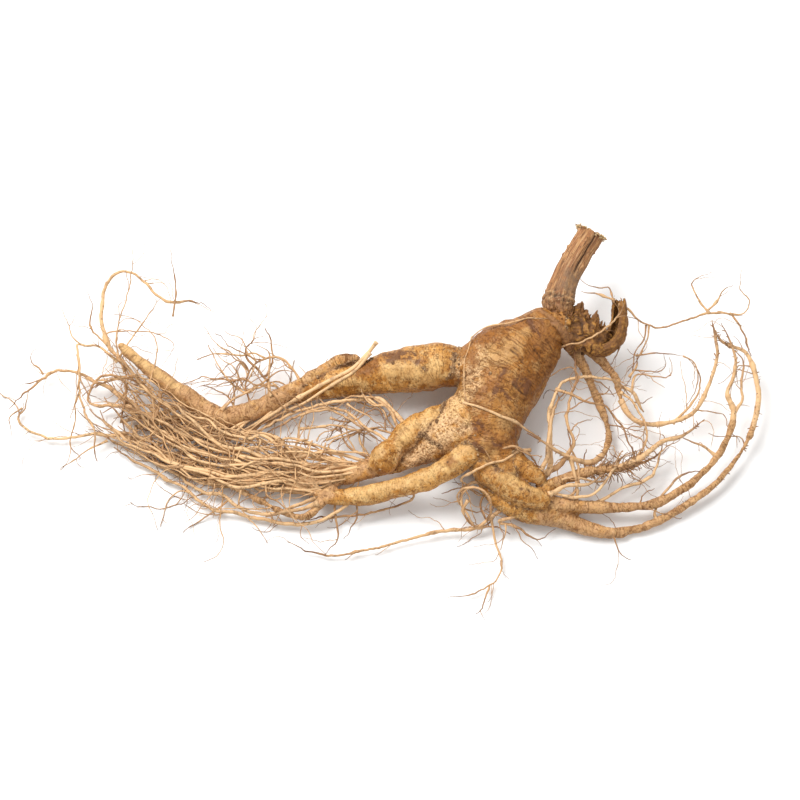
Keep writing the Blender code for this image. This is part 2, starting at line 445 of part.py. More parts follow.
def flesh(collection, profile):
    """The swollen members, blended into one body with few faces."""
    members = []
    for name, points in FLESH.items():
        route = rounded_ends(smooth_route(thick_stretch(points), FLESH_SPACING))
        members.append(tube(name, route, profile, collection))
    body = merged("ginseng_root", members, collection)
    remesh = body.modifiers.new("blend", "REMESH")
    remesh.mode = "VOXEL"
    remesh.voxel_size = FLESH_VOXEL * MM
    relax = body.modifiers.new("relax", "SMOOTH")
    relax.factor = 0.5
    relax.iterations = 4
    apply_modifiers(body)
    raise_lumps(body.data)
    thin_out(body, FLESH_TRIANGLES)
    flatten_underside(body.data)
    return body


def clear_of_surface(route):
    """The route lifted where its rootlet would reach below the surface, and no thinner than it can be."""
    lifted = []
    for place in route:
        radius = max(place.w, ROOTLET_LEAST_RADIUS)
        lifted.append(Vector((place.x, place.y, max(place.z, radius + SURFACE_CLEARANCE), radius)))
    return lifted


def along(points, share):
    """The place at a share, from 0 to 1, of a list of points."""
    position = min(max(share, 0), 1) * (len(points) - 1)
    index = min(int(position), len(points) - 2)
    return Vector(points[index]).lerp(Vector(points[index + 1]), position - index)


def between_guides(share, across):
    """The place in the left bunch at a share of its length, from its back, 0, to its front, 1."""
    back, middle, front = (along(guide, share) for guide in (BUNCH_BACK, BUNCH_MIDDLE, BUNCH_FRONT))
    return back.lerp(middle, 2 * across) if across < 0.5 else middle.lerp(front, 2 * across - 1)


def bunch_strands():
    """The strands of the left bunch, in three layers, each from the flesh out between the guides."""
    draw = random.Random(BUNCH_SEED)
    reach = BUNCH_BACK[0][0] - BUNCH_BACK[-1][0]
    strands = []
    for index in range(BUNCH_STRANDS):
        across = (index + draw.uniform(0.2, 0.8)) / BUNCH_STRANDS
        if index % 3 == 0 and across < 0.75:
            source = ARM_SOURCES[(index // 3) % len(ARM_SOURCES)]
        else:
            source = BUNCH_SOURCES[index % len(BUNCH_SOURCES)]
        first = (BUNCH_BACK[0][0] - source[0] + BUNCH_LEAD) / reach
        last = draw.uniform(0.8, 1.0)
        drift = draw.uniform(-BUNCH_DRIFT, BUNCH_DRIFT)
        layer = BUNCH_LOWEST + BUNCH_LAYER * (index % 3)
        thickness = draw.uniform(0.8, 1.25)
        route = [(*source, thickness)]
        for step in range(BUNCH_STEPS):
            share = step / (BUNCH_STEPS - 1)
            place = between_guides(first + (last - first) * share, min(max(across + drift * share, 0), 1))
            sway = draw.uniform(-BUNCH_SWAY, BUNCH_SWAY)
            rise = layer + draw.uniform(-BUNCH_SWAY, BUNCH_SWAY) / 2
            route.append((place.x, place.y + sway, place.z + rise, thickness * (1 - share / 2)))
        strands.append(route)
    return strands


def drop_scraps(mesh):
    """Keep the largest body of a mesh and drop loose scraps."""
    shape = bmesh.new()
    shape.from_mesh(mesh)
    unseen = set(shape.verts)
    bodies = []
    while unseen:
        body = []
        front = [unseen.pop()]
        while front:
            vertex = front.pop()
            body.append(vertex)
            for edge in vertex.link_edges:
                neighbour = edge.other_vert(vertex)
                if neighbour in unseen:
                    unseen.remove(neighbour)
                    front.append(neighbour)
        bodies.append(body)
    bodies.sort(key=len)
    bmesh.ops.delete(shape, geom=[vertex for body in bodies[:-1] for vertex in body], context="VERTS")
    shape.to_mesh(mesh)
    shape.free()


def carve_stalk(mesh, route):
    """Ribs along the stalk, and the long groove down its front."""
    shape = bmesh.new()
    shape.from_mesh(mesh)
    for vertex in shape.verts:
        place = min(route, key=lambda point: (point.xyz * MM - vertex.co).length)
        outward = vertex.co - place.xyz * MM
        angle = math.atan2(outward.z, outward.x) - STALK_GROOVE_ANGLE
        angle = (angle + math.pi) % (2 * math.pi) - math.pi
        above_socket = min(max((place.y - CARVED_FROM) / CARVED_OVER, 0), 1)
        groove = math.exp(-(angle / STALK_GROOVE_WIDTH) ** 2) * STALK_GROOVE_DEPTH
        ribs = STALK_RIB_DEPTH * (0.5 + 0.5 * math.sin(STALK_RIBS * angle + RIB_TWIST * place.y))
        vertex.co -= outward * (groove + ribs) * above_socket
    shape.to_mesh(mesh)
    shape.free()


def splinters(collection, profile):
    """Short torn fibres round the stalk's open end."""
    draw = random.Random(SPLINTERS)
    tip, inner = Vector(STALK[-1]), Vector(STALK[-2])
    outward = (tip.xyz - inner.xyz).normalized()
    side = outward.cross(Vector((0, 0, 1))).normalized()
    upward = side.cross(outward)
    for index in range(SPLINTERS):
        angle = 2 * math.pi * (index + draw.uniform(-0.2, 0.2)) / SPLINTERS
        spoke = (side * math.cos(angle) + upward * math.sin(angle)) * tip.w * draw.uniform(0.5, 0.68)
        foot = tip.xyz + spoke - outward * SPLINTER_ROOT
        point = tip.xyz + spoke * SPLINTER_SPLAY + outward * SPLINTER_LENGTH * draw.uniform(0.5, 1)
        places = (foot, tip.xyz + spoke, point)
        fibre = [Vector((*place, radius)) for place, radius in zip(places, SPLINTER_RADII)]
        tube(f"splinter_{index}", fibre, profile, collection)


def material(name, colour, roughness):
    """A plain finish."""
    finish = bpy.data.materials.new(name)
    finish.use_nodes = True
    shader = finish.node_tree.nodes["Principled BSDF"]
    shader.inputs["Base Color"].default_value = colour
    shader.inputs["Roughness"].default_value = roughness
    shader.inputs["Metallic"].default_value = 0
    return finish


def ginseng_root(collection, cutters, guides):
    """The whole root: flesh, tails, rootlets and the socket for the stalk."""
    body = flesh(collection, polygon_profile(FLESH_SIDES, guides))
    tail_profile = polygon_profile(TAIL_SIDES, guides)
    for name, points in FLESH.items():
        if thin_stretch(points):
            route = clear_of_surface(smooth_route(thin_stretch(points), TAIL_SPACING))
            tube(f"{name}_tail", route, tail_profile, cutters)
    rootlet_profile = polygon_profile(ROOTLET_SIDES, guides)
    groups = {"fan": LEFT_FAN, "edge": FRONT_EDGE, "tuft": ARM_TUFT, "loop": HIP_LOOPS, "right": RIGHT_SIDE}
    for group, rootlets in groups.items():
        for index, points in enumerate(rootlets):
            route = clear_of_surface(smooth_route(points, ROOTLET_SPACING))
            tube(f"{group}_{index}", route, rootlet_profile, cutters)
    for index, points in enumerate(bunch_strands()):
        route = clear_of_surface(smooth_route(points, BUNCH_SPACING))
        tube(f"strand_{index}", route, rootlet_profile, cutters)
    boolean(body, "UNION", cutters)
    drop_scraps(body.data)
    return body


def stalk(collection, cutters, guides):
    """The stalk with its ribs, groove, bud scar and torn end."""
    route = smooth_route(STALK, STALK_SPACING)
    body = tube("stalk", route, polygon_profile(STALK_SIDES, guides), collection)
    carve_stalk(body.data, route)
    bpy.ops.mesh.primitive_uv_sphere_add(segments=8, ring_count=6, radius=BUD_SCAR[3] * MM,
                                         location=[value * MM for value in BUD_SCAR[:3]])
    scar = bpy.context.object
    scar.data.transform(scar.matrix_world)
    scar.matrix_world.identity()
    for owner in list(scar.users_collection):
        owner.objects.unlink(scar)
    cutters.objects.link(scar)
    splinters(cutters, polygon_profile(SPLINTER_SIDES, guides))
    boolean(body, "UNION", cutters)
    return body


def socket(cutters, guides):
    """What the stalk's foot takes out of the crown: its own shape and a small gap all round."""
    foot = [point for point in smooth_route(STALK, STALK_SPACING) if point.y < STALK[0][1] + SOCKET_REACH]
    inward = (foot[0].xyz - foot[1].xyz).normalized()
    wider = [Vector((*point.xyz, point.w + FITTING_GAP / math.cos(math.pi / STALK_SIDES))) for point in foot]
    wider[0] = Vector((*(foot[0].xyz + inward * FITTING_GAP), wider[0].w))
    tube("socket", wider, polygon_profile(STALK_SIDES, guides), cutters)


def main():
    """Build the root and its stalk."""
    clear_scene()
    root_parts = new_collection("Ginseng root")
    cutters = new_collection("Cutters")
    guides = new_collection("Guides")
    body = ginseng_root(root_parts, cutters, guides)
    socket(cutters, guides)
    boolean(body, "DIFFERENCE", cutters)
    drop_scraps(body.data)
    body.data.materials.append(material("root skin", SKIN_COLOUR, SKIN_ROUGHNESS))
    dead_stalk = stalk(root_parts, cutters, guides)
    dead_stalk.data.materials.append(material("dead stalk", STALK_COLOUR, STALK_ROUGHNESS))
    for guide in list(guides.objects):
        bpy.data.objects.remove(guide, do_unlink=True)
    for piece in (body, dead_stalk):
        piece.data.shade_smooth()
        piece.data.set_sharp_from_angle(angle=math.radians(SHARP_ANGLE))


main()
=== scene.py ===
"""The looks of a fresh ginseng root with its dead stalk, lying on a pale floor.

The root is one grown body. Its swollen members are blended into one skin with wrinkles, pits, stains and
soil in its folds. Its thin legs, rootlets and hairs are swept along routes. The neck, the hollow horn and
the scales of the crown are gnarled pieces of their own, and the stalk has its fibres, groove, node ring,
bud scar and torn end.

Routes are in millimetres along a centre line, thick end first, and a point is written as "x y height
radius". The origin is the middle of the flat spot under the belly, +X runs to the right of the root and
+Y towards the stalk.
"""

import logging
import math
import random
from dataclasses import dataclass, field
from enum import Enum
from functools import partialmethod
from typing import Any, Sequence

import bmesh
import bpy
import numpy as np
from bpy.types import Material, Mesh, NodeSocket, Object
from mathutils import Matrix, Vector, noise
from mathutils.bvhtree import BVHTree


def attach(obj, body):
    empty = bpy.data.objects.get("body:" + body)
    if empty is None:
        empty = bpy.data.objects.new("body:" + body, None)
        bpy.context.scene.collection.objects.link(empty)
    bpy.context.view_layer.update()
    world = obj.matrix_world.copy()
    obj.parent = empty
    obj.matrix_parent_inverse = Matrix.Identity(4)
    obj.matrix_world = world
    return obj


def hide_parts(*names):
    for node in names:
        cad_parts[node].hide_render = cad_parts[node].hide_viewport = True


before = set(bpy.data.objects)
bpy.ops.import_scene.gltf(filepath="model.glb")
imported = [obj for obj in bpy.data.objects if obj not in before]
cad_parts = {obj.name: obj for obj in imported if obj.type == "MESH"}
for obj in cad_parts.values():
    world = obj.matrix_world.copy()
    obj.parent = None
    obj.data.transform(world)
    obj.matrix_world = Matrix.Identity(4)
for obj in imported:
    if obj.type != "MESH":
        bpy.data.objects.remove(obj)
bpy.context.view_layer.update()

log = logging.getLogger("ginseng_root")

Colour = tuple[float, float, float, float]
Place = tuple[float, ...]
Array = np.ndarray

MM = 0.001
BODY = "root"
ROOT_NODE = "ginseng_root"
STALK_NODE = "stalk"
# Nothing that grows reaches below this height, so it lies on the floor
LEAST_CLEARANCE = 0.15
# Hairs turn back where they would leave this stretch from left to right
REACH = (-226.0, 118.0)


def read_route(text: str) -> list[Place]:
    """A route from its points, with a comma between them."""
    return [tuple(float(number) for number in point.split()) for point in text.split(",")]


def read_routes(text: str) -> list[list[Place]]:
    """Several routes, with a semicolon between them."""
    return [read_route(line) for line in text.split(";")]


def read_members(text: str) -> dict[str, list[Place]]:
    """Several routes, each after its name and a colon."""
    parts = [line.split(":") for line in text.split(";")]
    return {name.strip(): read_route(points) for name, points in parts}


# The swollen members of the root, each from its thick end
FLESH = read_members("""
trunk: 21 19.5 22.5 8.8, 16.5 17.5 21.5 11.5, 11 13 19 14.2, 3 4.5 16.6 17.2, -4 -7.5 15.8 17.2,
-9 -19 15.4 16.3, -10.5 -29.5 16 14.6;
shoulder: 13 15.5 19 10.5, -1.5 9.5 17 13.5, -12.5 2.5 16.5 12.5;
arm: -12.5 3 16.5 9.5, -21 2.5 16.5 8.4, -29.5 3.5 16.5 10.2, -38.5 2.5 15.5 10.4, -48.5 2 14 9.9,
-57 0.5 12.5 8.6, -66 -1.2 10.5 7, -76 -2 8.8 6.4, -86.5 -3.5 6.8 5.5, -96 -6 5.2 5, -107 -11 4.1 4.7,
-118 -14.5 4 4.7, -126.5 -16.5 4.2 4.7, -133 -13.5 5 4.5, -140 -8.5 6 4.3, -149 -2.5 8 3.8,
-157.5 3.5 10.5 3.2, -164.5 9 12.5 2.6, -170.5 13.5 14.5 1.7;
arm_rider: -66.8 7.8 15 2.1, -71.4 7.6 13.8 2.7, -76 6.2 12.8 2.8, -80.4 4 12 2.8, -86.2 0.6 11 2.9,
-92.4 -3.6 9.5 3.1, -99 -7.2 7.8 3.2;
belly_lobe: -18 -23 16 13.5, -25.5 -28 14.5 11, -32 -32 12.5 8.2, -38 -35 10.5 5.8, -45 -39 9.5 3.4,
-52 -42 8 2.2;
middle_leg: -27 -18.5 15 5, -34.5 -22 15.5 5.8, -42.5 -26.5 15 6.3, -47.5 -31 14.6 5.6,
-50.5 -34.5 14.4 5.2, -54 -38.4 14.4 6.7, -56.3 -40 13.8 6.2, -61 -42 12 2.2, -66 -41.5 11 1.7,
-72 -39.5 10 1.4;
middle_toe: -53.5 -41 10.5 4, -62.5 -42.5 9.5 4.1, -69.5 -44 8.5 4.2, -76 -45.5 7.5 3.5, -81.5 -47 7 2.5;
front_leg: -13 -32 21 5.1, -17.5 -38.5 21.5 5.3, -24.5 -43.5 19.5 5.4, -33 -48 17 5.1,
-41.5 -50.5 14.5 4.7, -51 -52.5 12.5 4.6, -61.5 -54.5 10.5 4.2, -70.5 -55 9 3.9, -77.5 -54.5 8 3.3,
-83 -53 7.5 2.3;
hip: -10 -28.5 16 13.8, -5.5 -37 15.5 10.6, -3.5 -43 15 9;
hip_thumb: -11.9 -43.3 17 6, -8.5 -46.6 17.5 5.9, -4.2 -49.8 17.5 5.7, 0.4 -52.9 17 5.4, 4.9 -55.3 16 5.1,
9.3 -57 15 4.7, 13.6 -57.9 13.5 4;
hip_knob: -2.7 -37.8 17 6.8, 2.9 -41.9 17 5.4, 8.1 -45.4 16.5 4.4, 11.9 -48 16 3.5;
right_leg: -10 -44.5 12 5.8, -7 -52 11 5.2, -1.5 -57.5 9.5 5, 7 -61 8 5.1, 16 -62 6.5 4.9,
25 -64.5 4.6 4.1, 35 -67.5 3.5 3.4, 44.5 -69 2.9 2.8, 55 -67.5 2.6 2.3, 67 -63 3.4 2, 79 -56 5 1.7,
90 -48 6 1.5, 100 -36 7 1.4, 107 -23.5 8.5 1.3, 110 -11 10 1.2, 109.5 -1 11 1.1, 107 7 12 0.95,
103.5 12 13 0.8, 97 14.5 13.5 0.7, 92.5 18.5 14 0.55, 90.5 25.5 15 0.4;
second_right_leg: 9 -55 11 3.2, 17 -57 9.5 3.4, 25.5 -58.5 8.5 3.3, 36 -59 7.5 3.1, 48.5 -59 7 2.6,
62 -57.5 7 2.2, 75.5 -51 8 1.9, 85.5 -42.5 9 1.7, 93 -33.5 10 1.55, 97.5 -24 11.5 1.4, 98.5 -16 12.5 1.25,
96 -8.5 13.5 0.9, 99 -0.5 14.5 0.75, 100 7.5 15.5 0.6, 97 17 17 0.5, 94 23 18 0.35;
third_right_leg: 14 -53 12.5 2.8, 22 -49 13 2.6, 31 -45.5 13 2.3, 39.5 -43.5 12.5 2, 47.5 -42.5 12 1.6,
57 -38 12 1.3, 67 -30.5 12.5 1.1, 75.5 -28 13 0.9, 85.5 -21 14 0.5;
crown_root: 28 15 18 2.9, 37 10.5 15 2.5, 42.5 5.5 13 2.2, 47.5 -1 11 1.8, 49.5 -10 9.5 1.5, 53 -17 9 1.3,
60 -21 9 1.15, 71 -20.5 9.5 1.05, 82 -15.5 11 0.95, 87.5 -5.5 13 0.85, 91.5 5.5 15 0.75,
91.5 15.5 16.5 0.65, 90 23.5 18 0.4;
second_crown_root: 26.5 13.5 16 2.7, 31 9.5 12.5 2.4, 35.5 0.5 8.5 2.1, 40 -9.5 6 2, 43.5 -20 5.2 1.9,
44 -27.5 6 1.7, 41 -35.5 8.5 1.45, 35.5 -40 12 1.25, 26.5 -40 18 1, 16.5 -36 24 0.8, 7.5 -32 28 0.6;
kinked_toe: -74.5 -45.5 8 2.2, -78.5 -51.5 8.4 2.3, -82.5 -57.5 8.2 2.2, -86 -62 7.8 2,
-89.5 -63.5 7.4 1.7, -96 -62 7 1.5, -105 -57.5 6.4 1.4, -114 -52.5 5.8 1.3, -123.5 -47 5.2 1.2,
-133.5 -43 4.8 1.1, -144 -37.5 4.5 1, -155 -32 4.2 0.85, -166 -27 4 0.65, -176 -23 4 0.45
""")

# The gnarled neck under the stalk, its collar round the trunk, and the hollow horn that curls up from it
NECK = read_route("""
20 20.5 22.5 8, 28.5 19.5 23 6.8, 35 18 22 6.4, 40.5 16 20.5 5.2, 43.5 14.5 19.5 3.6
""")
COLLAR = read_route("""
14 24.5 28.5 1.4, 16 22 30.3 1.7, 18.8 19.3 31 1.9, 21.5 16.6 30.3 2.1, 24 14 28 2.3, 25.5 12 24 2.3,
26 11 19 2
""")
HORN = read_route("""
36 10.5 18.5 3.6, 42 11.5 19 4.3, 46.5 15.5 20 4.4, 48.2 20.5 22 4.1, 48.6 25.5 24.5 3.6, 48.2 31 27.5 3
""")

# The rootlets of the fan at the far left
LEFT_FAN = read_routes("""
-157 -6.5 7 1.2, -167.5 5 9 1.2, -174.5 13 11 1.3, -178.5 19.5 12.5 1.3, -179.5 27 13.5 1.3,
-179 35 14.5 1.2, -177.5 43 15.5 1.1, -171.5 48.5 16 1, -165.5 47 16 0.9, -159 41.5 15 0.9,
-154 36 14 0.9, -149 34.5 13 1.1, -140.5 36 12 0.7, -131 32.5 10 0.4;
-156.5 -20.5 5 1.2, -166.5 -10 6 1.8, -173 -5.5 7 1.6, -180.5 -1.5 7.5 1.2, -189.5 3 7.5 1,
-199.5 4.5 6.5 1, -206.5 0 5.5 0.9, -213 -5.5 5 0.8, -220 -12.5 4.5 0.5;
-161 -26.5 4 1.2, -170.5 -25 4 1.2, -181.5 -24 4 1.1, -192.5 -25.5 3.6 0.9, -202.5 -25.5 3.4 0.9,
-210.5 -21.5 3.4 0.8, -216 -17 3.6 0.8, -212.5 -10.5 4 0.7, -211.5 -4.5 4.6 0.6;
-163.5 -12 6 1.6, -174 -11.5 7 1.2, -180.5 -12 8 0.9, -184.5 -9.5 8.5 0.8, -183.5 -4.5 9.5 0.8,
-180.5 0 10.5 0.8, -175.5 1 11 0.8, -170.5 0 10.5 0.8, -168 -4 9 0.8, -169.5 -14 7 0.9, -169 -23.5 5 0.9;
-172 7.5 10.5 0.9, -180 13.5 12 0.8, -185.5 14 12.5 0.8, -190 14.5 12.5 0.8, -189 9.5 12 0.8,
-188.5 3 11 0.8, -189 -4 9 0.7, -187 -11.5 7 0.7, -184 -18 5.5 0.7, -178 -23 4.5 0.7;
-169 3 9.5 0.5, -172 11.5 12 0.5, -172.5 19 14 0.5, -170.5 28.5 16 0.4, -167 40.5 19 0.4,
-165.5 50.5 21 0.35, -166.5 58.5 23 0.3;
-171 10 11 0.5, -166.5 17 12.5 0.5, -161 25 13.5 0.5, -156 32.5 14 0.45, -153.5 36 14 0.4;
-175.5 12.5 11.5 0.5, -178 18.5 12.5 0.5, -173 20.5 13.5 0.45, -162.5 20.5 13.5 0.4, -153.5 19 12.5 0.35,
-147.5 14.5 11 0.3, -152.5 6 9 0.3;
-174.5 12 11 0.7, -178.5 16.5 12.5 0.6, -184 22.5 14.5 0.6, -183.5 30.5 17 0.5, -185.5 37.5 19 0.35;
-153 -6 8 1, -154 -14 8 1, -156 -21 7 0.9, -156 -28 5 0.9, -153 -35 3.6 0.8
""")

# The rootlets along the front edge of the left bunch, and those that hang under the front leg
FRONT_EDGE = read_routes("""
-68.5 -56 8 1.2, -76 -61.5 6.5 1.2, -86 -65 5 1.2, -95.5 -65.5 4 1.3, -107.5 -63 3.6 1.2,
-119.5 -60.5 3.2 1.2, -129.5 -58.5 3 1.1, -136.5 -53.5 3 1.1, -144.5 -47 3 1, -155 -41.5 3 1,
-166 -35 3 0.9, -174 -29.5 3.2 0.7;
-81.5 -53.5 7 1.5, -91 -56.5 5.6 1.3, -99 -59.5 5 1.3, -107.5 -61 4.6 1.2, -117.5 -57.5 4.2 1.2,
-125 -52.5 4 1.2, -135 -50 3.6 1.1, -148.5 -40.5 3.4 1, -161.5 -32 3.4 0.8;
-42.5 -52 15 0.7, -41.5 -55.5 12 0.7, -45.5 -57.5 8 0.7, -56 -60 6 0.7, -67 -62 5 0.7, -80 -62.5 4.6 0.7,
-90 -64.5 4.2 0.6;
-68.5 -54 9 0.7, -66.5 -58 7.5 0.6, -66 -62 5.5 0.6, -69.5 -68.5 4 0.5, -72 -72 3 0.4;
-75 -54.5 8 0.8, -76 -59 6 0.8, -75 -66 4.5 0.7, -74.5 -72.5 3.4 0.6, -80.5 -78.5 2.8 0.5
""")

# The rootlets that cross the gap between the arm and the middle leg, and the tuft above the arm
ARM_TUFT = read_routes("""
-44 -25 14 1.7, -50.5 -16 13 1.6, -56.5 -10.5 12 1.4, -68.5 -10 10 1.3, -80.5 -11.5 9 1.1,
-91.5 -14.5 8 1, -101 -18.5 7 0.9, -111 -23 6 0.8, -122 -24.5 6 0.7;
-50 -35 14 1, -54.5 -30 15 1, -63 -24.5 13.5 1, -71.5 -16 11 0.9, -80.5 -14 10 0.9, -89 -16 9 0.8,
-99.5 -21 8 0.8, -108 -25 7 0.7;
-47.5 -26.5 14 1, -52.5 -16.5 15 1, -59 -10.5 14 0.9, -64 -6.5 12 0.8, -66 -3 10 0.8;
-48 -28 13 0.8, -58.5 -24 11.5 0.7, -67 -25 10 0.6, -74.5 -28.5 9 0.6, -80.5 -31 8.5 0.5;
-59.5 -38 11 0.8, -68.5 -33 9.5 0.7, -71.5 -29 9 0.6, -74.5 -22 8 0.6, -78 -26 7 0.5, -81.5 -29 7 0.4;
-78.5 -6.5 7 1.2, -87 -9 6 1.1, -95 -12.5 5.5 1, -102.5 -16.5 5 0.9, -108 -20 5 0.8, -118 -25.5 5 0.7,
-128.5 -27.5 5.5 0.7;
-91.5 -0.5 8 0.8, -96 5.5 10 0.8, -101.5 9.5 11.5 0.8, -107 8.5 12.5 0.7, -111.5 5 12.5 0.6,
-115.5 -1 11 0.6, -119.5 -7 9 0.4;
-105.5 -10 7 0.9, -105.5 -1.5 10 0.8, -110 3.5 11.5 0.8, -114 7.5 12.5 0.8, -116 12 13.5 0.6,
-113 14.5 14 0.5, -111 17.5 14.5 0.5, -107.5 18 15 0.4;
-113 -12.5 6 0.7, -115.5 -4 9 0.6, -114.5 3.5 10.5 0.6, -118 7 11 0.5, -120 2 11 0.5, -126.5 0 10 0.4;
-119.5 -14 6 0.7, -123 -8.5 8 0.5, -128.5 -5 9 0.5, -134 -3 9 0.4;
-99 -6.5 7 0.6, -104 -2 9.5 0.5, -110 -4.5 10.5 0.5, -116.5 0 10.5 0.4, -123 -3.5 9 0.4
""")

# The loops and trailers under the hips
HIP_LOOPS = read_routes("""
-0.5 -57 11 1.1, -6.5 -52 12.5 1, -13.5 -49.5 13 1, -19.5 -52 12.5 0.9, -21 -57 11 0.9, -18.5 -62.5 8 0.8,
-13.5 -68 5.5 0.8, -7.5 -64 5 0.7, -4 -59 7 0.7;
1 -60.5 9 1.1, -4 -55.5 10.5 1, -9 -53 10.5 0.9, -12.5 -57.5 9 0.9, -11 -63.5 7 0.9, -8.5 -67 5 0.8;
-2 -59.5 9 1.3, -8 -63.5 7 1.2, -14.5 -67.5 5.2 1.2, -25.5 -68.5 4.2 1.1, -39 -71 3.6 1,
-49.5 -73.5 3.2 0.9, -64 -77.5 3 0.8, -77 -79 2.8 0.7, -88.5 -77 2.6 0.6, -97 -72.5 2.6 0.5;
-8 -63.5 6.5 0.8, -5.5 -75 3.4 0.7, -3 -83 3 0.6, -5.5 -90.5 2.8 0.6, -15 -96 2.6 0.5, -26.5 -98 2.4 0.4;
6 -54.5 14 1.3, 6 -60.5 11 1.2, 1 -64 9.5 1.1, -4.5 -65.5 7.5 1, 4.5 -68.5 6 0.8, 12 -72.5 4.6 0.6,
20 -68 4 0.4;
9 -36 17 0.9, 4.5 -37.5 21 0.9, -2 -42.5 24 0.8, -9.5 -45 24.5 0.8, -16.5 -48 22 0.8, -21 -49.5 18 0.7,
-17 -52 14 0.7, -9 -55.5 10 0.7
""")

# The rootlets to the right, between the hips, the neck and the tips of the right legs
RIGHT_SIDE = read_routes("""
14 -46.5 11 2.2, 17.5 -43.5 13 2.2, 18 -37.5 15 1.9, 18 -29 16.5 1.6, 17.5 -20 17.5 1.3,
20 -11.5 18.5 1.1, 24 -5 19 1, 32 -2.5 18 1, 43 -2.5 16 0.9, 50 -5 14 0.8, 53.5 -8.5 12 0.7;
12.5 -46.5 10 2, 20.5 -42 12 1.9, 24.5 -38.5 14.5 1.6, 28 -31.5 17 1.2, 25 -23.5 18.5 1, 27 -12 19.5 0.9,
29.5 -2.5 19 0.8, 29 13 18 0.8;
26.5 -40 18 1.1, 29 -49.5 15 1.1, 29.5 -58 10 1, 29 -62.5 7 1;
20.5 -8.5 19 0.9, 26.5 -11 20 0.9, 35.5 -14.5 19 0.8, 42.5 -15.5 17.5 0.7, 47.5 -21.5 15 0.7,
52 -30 13 0.6, 54 -35.5 11.5 0.5, 48.5 -40.5 10 0.4;
49.5 -7 11 0.8, 55 -12 12 0.8, 59 -20.5 12.5 0.7, 60 -29.5 12 0.7, 55.5 -37.5 12 0.6, 49 -42.5 12 0.5;
48 -3.5 11.5 1.2, 54.5 -8 13 1.2, 57.5 -13 13 1.6, 59 -17 12 0.9;
14 -53 12.5 1, 28.5 -56 12 1, 37.5 -54 12.5 0.9, 43 -47.5 13 0.9, 48 -39.5 13 0.8, 57 -34 12 0.5;
39 -44 12 1.5, 50 -42.5 10 1.4, 58.5 -38.5 8 1, 65 -35 7 0.9, 67.5 -29 8 0.7;
38.5 -57 8 1, 49.5 -50.5 8 1, 60.5 -47 9 1.2, 64 -42 10 0.9, 67 -34 11 0.6, 75 -29.5 12 0.4;
64 -57.5 7.5 0.9, 69 -51 9.5 0.8, 76 -45 10.5 0.8, 83.5 -43 10 0.6;
91.5 -37 9.5 1.2, 87 -34 11 0.9, 79 -29.5 12 0.6, 73 -27 12.5 0.4;
98.5 -18 12 1, 102.5 -10.5 13 0.9, 102.5 -2.5 14 0.8, 103 6.5 15 0.6, 98 13 17 0.5;
72 -21 9.5 0.9, 79.5 -13.5 11 0.8, 83.5 -8 12 0.6, 84.5 -1 13 0.5, 82 4.5 13.5 0.4, 78 9 14 0.35;
54 -7.5 12.5 0.7, 56 0 13 0.6, 62.5 -0.5 14 0.5, 69 -1.5 15 0.45, 72.5 2.5 15.5 0.4, 70.5 7.5 16 0.35;
48.3 28.5 26 0.8, 52.5 27 24 0.8, 58.5 22 22 0.6, 67.5 20 20 0.6, 79.5 24.5 18 0.7, 89.5 28.5 17 0.8,
98.5 28 16 0.8, 103.5 20 15 0.7, 107 9 12.5 0.7;
89 28 17 0.7, 83 35.5 18.5 0.6, 81.5 41 19.5 0.5, 85.5 44.5 20.5 0.4, 91 46 21.5 0.3;
98 28 16 0.7, 104.5 28 17 0.5, 106.5 33.5 18 0.45, 103 38.5 19 0.4, 103 47.5 21 0.3;
23.5 9.6 23.5 0.5, 26.5 9.6 26.5 0.55, 30.2 9.6 28 0.58, 36.3 12.1 29 0.6, 42 15.7 29.5 0.62,
46.8 20.2 31 0.6, 49.5 24.5 32 0.6, 48.5 29 33 0.5;
64.5 -64 4 0.9, 63.5 -60.5 5 0.8, 66 -55.5 7 0.6
""")

# Between these three guides the strands of the left bunch run, as (x, y, height)
BUNCH_BACK = read_route("""
-65 -37.5 11, -78 -32 10, -93.5 -29 9, -109.5 -27 8, -125.5 -24.5 7.5, -139 -16.5 8, -153 -7 9,
-166.5 4.5 10.5, -177.5 16 12
""")
BUNCH_MIDDLE = read_route("""
-67.5 -41 9.5, -82.5 -40.5 8.5, -99 -41 7, -115.5 -41.5 6, -131.5 -38.5 5.5, -147 -30.5 5.5, -160.5 -20 6,
-172 -9 6.5, -181.5 0.5 7
""")
BUNCH_FRONT = read_route("""
-79 -49 7.5, -90.5 -50 6.5, -106 -49 5, -122.5 -48 4, -138.5 -44 3.6, -152.5 -37.5 3.4, -165 -30.5 3.4,
-177 -25 3.4, -186.5 -21 3.4
""")
GUIDES = (BUNCH_BACK, BUNCH_MIDDLE, BUNCH_FRONT)
# Where the strands leave the flesh: the ends of the middle leg and its toe, the arm and the front leg
BUNCH_SOURCES = read_route("-69 -40.5 10.5, -79 -46.3 7.2, -80 -53.8 7.8, -50 -41 8.6")
ARM_SOURCES = read_route("""
-93 -5.5 5.6, -103 -9.5 4.6, -112 -13 4.2, -121 -15.5 4.2, -129 -15.5 4.6, -138 -10 5.6
""")

